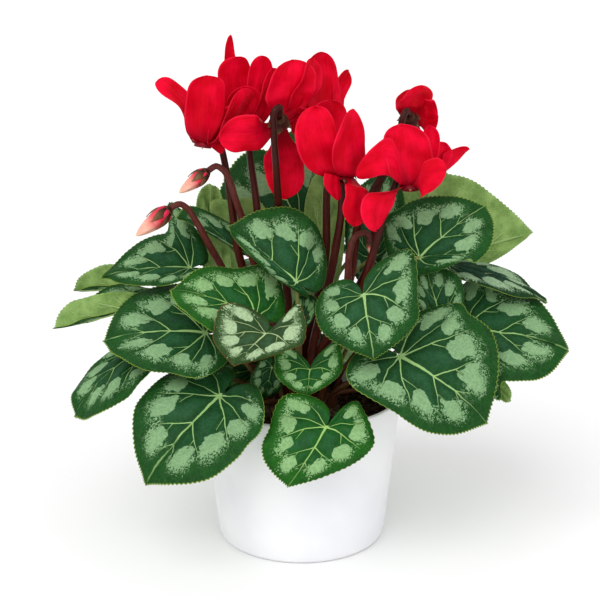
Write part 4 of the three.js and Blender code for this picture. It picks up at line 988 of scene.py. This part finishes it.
def petal_sheet(bm, petal, axis, centre, seed):
    tip, left, right = petal[:3]
    more = petal[3] if len(petal) > 3 else {}
    roll = more.get("roll", PETAL_ROLL)
    tip = at(tip)
    a = at([*left[:2], left[2] - roll])
    b = at([*right[:2], right[2] + roll])
    mid = (a + b) / 2
    away = mid - centre
    away = (away - axis * away.dot(axis)).normalized()
    away.rotate(Quaternion(axis, math.radians(more.get("side", 0))))
    root = centre + away * (CUP_R - 0.9)
    half = (b - a) / 2
    tangent = axis.cross(away).normalized()
    if tangent.dot(half) < 0:
        tangent.negate()
    normal = (tip - root).cross(half).normalized()
    offset = Vector((seed * 5.1, seed * 2.3, 0.7))
    billow = PETAL_BILLOW * min(1.0, half.length / FULL_PETAL)

    def place(s, y):
        t = 1 - (1 - y) ** 1.7  # rows stand closer at the round tip
        out = 1 - smooth(t / PETAL_U)
        la = (t - PETAL_U) * (t - 1) / PETAL_U
        lm = t * (t - 1) / (PETAL_U * (PETAL_U - 1))
        lb = t * (t - PETAL_U) / (1 - PETAL_U)
        p = root * la + mid * lm + tip * lb
        # It leaves the cup outwards and then bends back over it.
        p += away * (1.8 * math.sin(math.pi * min(1.0, t / 0.4)))
        if t < 0.3:
            p += axis * (2.5 * math.sin(math.pi * t / 0.3))
        across = half.lerp(tangent * (CUP_R * 0.85), out ** 4)
        narrow = 1 - more.get("taper", 0) * 0.36 * smooth((t - 0.4) / 0.35)
        w = petal_width(round(t, 6)) * narrow
        if t > TIP_U:
            w = 1.04 * narrow * max(0.0, 1 - ((t - TIP_U) / (1 - TIP_U)) ** 2.3) ** 0.5
        p += across * (s * w)
        # It is arched across, with a groove along its middle.
        lift = (2.4 * (1 - s * s) - 1.1 * math.exp(-s * s / 0.07)) * math.sin(math.pi * t)
        # The skin billows, its edges wave and its faint ribs run lengthwise.
        lift += billow * noise.noise(offset + Vector((t * 3, s * 1.1, 0))) * smooth(t / 0.3)
        lift += 0.9 * math.sin(8 * t + seed + (2 if s > 0 else 0)) * abs(s) ** 3 * smooth(t / 0.35)
        bent = 7 * math.pi * s + 2 * noise.noise(offset + Vector((0, 0, t * 3)))
        lift += 0.12 * math.sin(bent) * smooth(t / 0.2)
        return p + normal * lift, (s, t, seed)

    faces = sheet(bm, *PETAL_MESH, place)
    thicken(bm, faces, normal, lambda mark: PETAL * (1 - 0.45 * abs(mark.x) ** 3), 0)


def sepals(bm, base, axis, length, wide, reach, material, flare=0.0):
    """Pointed sepals that hug a body whose radius is reach(share of their length)."""
    side = axis.orthogonal().normalized()
    for k in range(SEPALS):
        azimuth = 2 * math.pi * k / SEPALS
        curl = flare * (1.6 if k == 1 else 1.0)

        def place(s, t):
            w = wide * math.sin(math.pi * min(1.0, 0.28 + t * 0.72)) ** 0.8 * (1 - t ** 3)
            r = reach(t) + curl * t * t * t + 0.12
            spin = Quaternion(axis, azimuth + s * w / max(1.2, r))
            p = base + axis * (length * t) + (spin @ side) * (r + 0.25 * (1 - s * s))
            return p, (s, t, 0)

        faces = sheet(bm, *SEPAL_MESH, place, material)
        middle = faces[len(faces) // 2].calc_center_median()
        outward = middle - (base + axis * (length / 2))
        thicken(bm, faces, outward, lambda mark: SEPAL_THICKNESS, material)


def pointing(axis, origin):
    """Matrix that stands a turned body on origin with its Z along axis."""
    turn = Vector((0, 0, 1)).rotation_difference(axis)
    return Matrix.Translation(origin) @ turn.to_matrix().to_4x4()


def bloom_piece(key, calyx, axis, petals, seed):
    centre = calyx + axis * (CUP_LENGTH * 0.7 + 0.3)
    bm = new_mesh()
    for k, petal in enumerate(petals):
        petal_sheet(bm, petal, axis, centre, seed * 5 + k)
    cup = [
        (0, 0.3), (CUP_R * 0.7, 0.35), (CUP_R * 0.98, 1.6), (CUP_R * 1.02, 3.4), (CUP_R * 0.96, 5.2),
        (CUP_R, CUP_LENGTH + 0.3), (CUP_R * 0.9, CUP_LENGTH + 0.5), (CUP_R * 0.82, CUP_LENGTH),
        (CUP_R - CUP_WALL, 3.4), (CUP_R * 0.6, 1.6), (0, 1.3),
    ]
    turned(bm, cup, 24, pointing(axis, calyx), 1)
    # Anthers meet in a cone round the style, which shows a little below the mouth.
    cone = [(0, 1.2), (1.7, 1.4), (1.9, 3.2), (0.9, 6.0), (0.35, 6.6), (0.3, 7.6), (0.0, 7.8)]
    turned(bm, cone, 12, pointing(axis, calyx), 2)
    finished("bloom_" + key, bm, [PETAL_RED, THROAT, ANTHER])


def scape_radius(share):
    """A flower stem is slim in its hole, thickest at a quarter and thins to its flower."""
    low = SCAPE_FOOT + (SCAPE_R - SCAPE_FOOT) * smooth(share / 0.25)
    return low - (SCAPE_R - SCAPE_TOP) * smooth((share - 0.4) / 0.6)


def stem_piece(key, calyx, axis, foot, via):
    points = footing(foot_point(foot)) + [at(p) for p in via] + [calyx - axis * CALYX_R]
    bm = new_mesh()
    tube(bm, points, scape_radius, STEM_SIDES, STEM_STEPS)
    knob = [
        (0, -CALYX_R - 0.4), (1.1, -CALYX_R - 0.3), (CALYX_R * 0.62, -CALYX_R + 0.4),
        (CALYX_R * 0.9, -2.0), (CALYX_R, -1.0), (CALYX_R * 0.95, 0.0), (0, 0.0),
    ]
    turned(bm, knob, 20, pointing(axis, calyx), 1)
    low, high = CALYX_R * 0.85, CUP_R * 1.06  # radius under the sepals and over the cup
    base = calyx - axis * (CALYX_R * 0.5)
    sepals(bm, base, axis, 6.2, 3.2, lambda t: low + (high - low) * smooth(t / 0.5), 1, 1.2)
    finished("stem_" + key, bm, [SCAPE, SEPAL])


# Half outline of a bud: share of its width, tenths of its length.
BUD_OUTLINE = [
    [0.0, 0.3], [0.6, 0.4], [0.95, 1.6], [1.02, 3.6], [0.85, 5.8], [0.55, 8.0], [0.2, 9.6], [0.0, 10.0],
]


def bud_shape(bm, base, axis, length, material):
    """Adds a furled bud and gives the radius that its sepals hug."""
    wide = length * 0.2
    side = axis.orthogonal().normalized()

    def place(x, y):
        share = through(BUD_OUTLINE, y)
        furl = math.pi * x * 5 + y * 5.5
        fold = 1 + 0.07 * math.cos(furl) * smooth(y / 0.25) * smooth((1 - y) / 0.1)
        spin = Quaternion(axis, math.pi * x)
        p = base + axis * (length * share[1] / 10) + (spin @ side) * (share[0] * wide * fold)
        return p, (x, share[1] / 10, furl / math.pi)

    close(bm, sheet(bm, 60, 36, place, material))
    return lambda t: through(BUD_OUTLINE, min(1.0, 0.08 + t * 0.5))[0] * wide + 0.1


def bud_pieces(key, base, tip, foot, via):
    fused = key in FUSED
    base, tip = at(base), at(tip)
    length = (tip - base).length
    axis = (tip - base).normalized()
    sepal = length * 0.55
    points = footing(foot_point(foot)) + [at(p) for p in via]
    points += [base - axis * 3, base + axis * (1.5 if fused else -0.5)]
    stalk = new_mesh()
    tube(stalk, points, scape_radius, STEM_SIDES, STEM_STEPS)
    if fused:
        reach = bud_shape(stalk, base, axis, length, 1)
        sepals(stalk, base, axis, sepal, 1.5, reach, 2)
    finished("budstem_" + key, stalk, [BUD_STALK, BUD_SKIN, SEPAL][:3 if fused else 1])
    if fused:
        return
    flower = new_mesh()
    reach = bud_shape(flower, base, axis, length, 0)
    sepals(flower, base - axis * 0.3, axis, sepal, 3.3, reach, 1, 0.5)
    knob = [(0, -0.6), (1.3, -0.5), (2.3, 0.3), (length * 0.16, 1.4), (0, 1.6)]
    turned(flower, knob, 16, pointing(axis, base), 1)
    finished("bud_" + key, flower, [BUD_SKIN, SEPAL])


# ---- pot, compost, tuber ----
POT_HOLLOW = 0.8  # height of the hollow under the base
POT_RING = 8.0  # width of the ring that the pot stands on


def arc(centre, radius, start, stop, steps):
    """Points on an arc, from start to stop in degrees."""
    angles = [math.radians(start + (stop - start) * i / steps) for i in range(steps + 1)]
    return [(centre[0] + radius * math.cos(a), centre[1] + radius * math.sin(a)) for a in angles]


def pot_piece():
    bm = new_mesh()
    inner = POT_RIM_R - POT_WALL
    ring = POT_BASE_R - POT_RING
    rows = [(0, POT_HOLLOW), (ring - 1, POT_HOLLOW), (ring, 0.0)]
    rows += arc((POT_BASE_R - POT_FOOT_ROUND, POT_FOOT_ROUND), POT_FOOT_ROUND, -90, -6, 8)
    rows += [(wall_r(z), z) for z in (6, 14, 30, 50, 70, 85, 94)]
    bead = RIM_BEAD - 0.02
    rows += arc((POT_RIM_R - bead, POT_HEIGHT - bead), bead, 0, 180, 10)
    rows += [(inner + 0.05, 94), (wall_r(80) - POT_WALL, 80), (wall_r(40) - POT_WALL, 40)]
    rows += [(wall_r(POT_FLOOR) - POT_WALL, POT_FLOOR), (0, POT_FLOOR)]
    turned(bm, rows, 144, Matrix.Identity(4))
    finished("pot", bm, [POT_WHITE], "pot_moulded")


def soil_height(x, y):
    """Height of the compost's lumpy top."""
    # Lumps of about 9 mm with smaller ones of 3.5 mm on them.
    lumps = noise.noise(Vector((x / 9, y / 9, 0))) * 1.5
    lumps += noise.noise(Vector((x / 3.5, y / 3.5, 4))) * 0.8
    return SOIL_TOP + SOIL_BUMP * 0.5 * lumps


CRUMBS = 620
BARK_SHARE = 0.2  # of the crumbs
SKIRT = 0.86  # share of the compost's rows that make its top; the rest go down the wall


def soil_piece():
    bm = new_mesh()
    top_r = wall_r(SOIL_TOP) - POT_WALL - SOIL_GAP

    def place(x, y):
        a = math.pi * x
        if y <= SKIRT:
            p = around(a, top_r * y / SKIRT)
            p.z = soil_height(p.x, p.y) if y < SKIRT - 0.01 else SOIL_TOP - 0.3
            return p, (x, y, 0)
        z = SOIL_TOP - (SOIL_TOP - POT_FLOOR - SOIL_GAP) * (y - SKIRT) / (1 - SKIRT)
        return around(a, wall_r(z) - POT_WALL - SOIL_GAP, z), (x, y, 0)

    close(bm, sheet(bm, 130, 50, place))
    for _ in range(CRUMBS):
        a, r = random.uniform(0, 2 * math.pi), top_r * math.sqrt(random.uniform(0.05, 0.95))
        size = random.uniform(0.7, 2.1)
        x, y = r * math.cos(a), r * math.sin(a)
        spin_axis = [random.random() for _ in range(3)]
        turn = Quaternion(spin_axis, random.uniform(0, 6)).to_matrix()
        stretch = Matrix.Diagonal((size * random.uniform(1, 1.9), size, size * random.uniform(0.5, 0.9), 1))
        put = Matrix.Translation((x, y, soil_height(x, y) + size * 0.25)) @ turn.to_4x4() @ stretch
        verts = bmesh.ops.create_icosphere(bm, subdivisions=1, radius=1.0, matrix=put)["verts"]
        material = 1 if random.random() < BARK_SHARE else 0
        for v in verts:
            v.co += Vector([random.uniform(-1, 1) for _ in range(3)]) * (0.16 * size)
            for face in v.link_faces:
                face.material_index = material
    finished("soil", bm, [PEAT, BARK_CHIP], "compost_surface")


def tuber_piece():
    bm = new_mesh()
    bmesh.ops.create_icosphere(bm, subdivisions=5, radius=1.0)
    for v in bm.verts:
        lump = 0.97 + 0.03 * noise.noise(v.co * 3) + 0.02 * noise.noise(v.co * 9)
        v.co = Vector((v.co.x * TUBER_R, v.co.y * TUBER_R, v.co.z * TUBER_HALF_HEIGHT)) * lump
        v.co.z += TUBER_Z
    finished("tuber", bm, [CORK], "tuber_bark")


# Upper sides by leaf number; the others are dark.
TOPS = {
    2: LEAF_FRESH, 4: LEAF_FRESH, 8: LEAF_OLIVE, 13: LEAF_STREAKED, 20: LEAF_FRESH,
    21: LEAF_YOUNG, 29: LEAF_YOUNG, 33: LEAF_FRESH, 36: LEAF_FRESH,
}
for name, leaf in all_leaves().items():
    top = TOPS.get(int(name.split("_")[1]), LEAF_DARK)
    leaf_piece(name, leaf, top, UNDER_PALE if leaf.get("face") == -1 else UNDER_DEEP)
for i, (key, (calyx, axis, foot, via, *petals)) in enumerate(FLOWERS.items()):
    calyx, axis = at(calyx), Vector(axis).normalized()
    stem_piece(key, calyx, axis, foot, via)
    bloom_piece(key, calyx, axis, petals, i)
for key, bud in BUDS.items():
    bud_pieces(key, *bud)
pot_piece()
soil_piece()
tuber_piece()


# ---- floor and light ----
FLOOR_SIZE = 8.0  # metres
AIR = 0.76  # light from all round
# Name, strength, angle and turn in degrees. The key comes from the upper left of the
# viewer, and both are wide enough for soft shadows.
LIGHTS = [("key", 1.15, 45, (36, -24, 0)), ("fill", 0.45, 70, (50, 30, 0))]


def studio():
    material, tree, *_ = begun("pale_studio_floor")
    shader = add(tree, "BsdfPrincipled", {"Base Color": linear("#FFFFFF"), "Roughness": 0.9})
    add(tree, "OutputMaterial", shader)
    bm = bmesh.new()
    bmesh.ops.create_grid(bm, x_segments=4, y_segments=4, size=FLOOR_SIZE)
    mesh = bpy.data.meshes.new("studio_floor")
    bm.to_mesh(mesh)
    bm.free()
    mesh.materials.append(material)
    floor = bpy.data.objects.new("studio_floor", mesh)
    bpy.context.scene.collection.objects.link(floor)

    world = bpy.data.worlds.new("studio_air")
    world.use_nodes = True
    air = world.node_tree.nodes["Background"].inputs
    air["Color"].default_value = (1, 1, 1, 1)
    air["Strength"].default_value = AIR
    bpy.context.scene.world = world
    for name, power, angle, turn in LIGHTS:
        light = bpy.data.objects.new(name, bpy.data.lights.new(name, "SUN"))
        light.data.energy = power
        light.data.angle = math.radians(angle)
        light.rotation_euler = [math.radians(a) for a in turn]
        bpy.context.scene.collection.objects.link(light)


studio()
bpy.context.scene.view_settings.view_transform = "Standard"
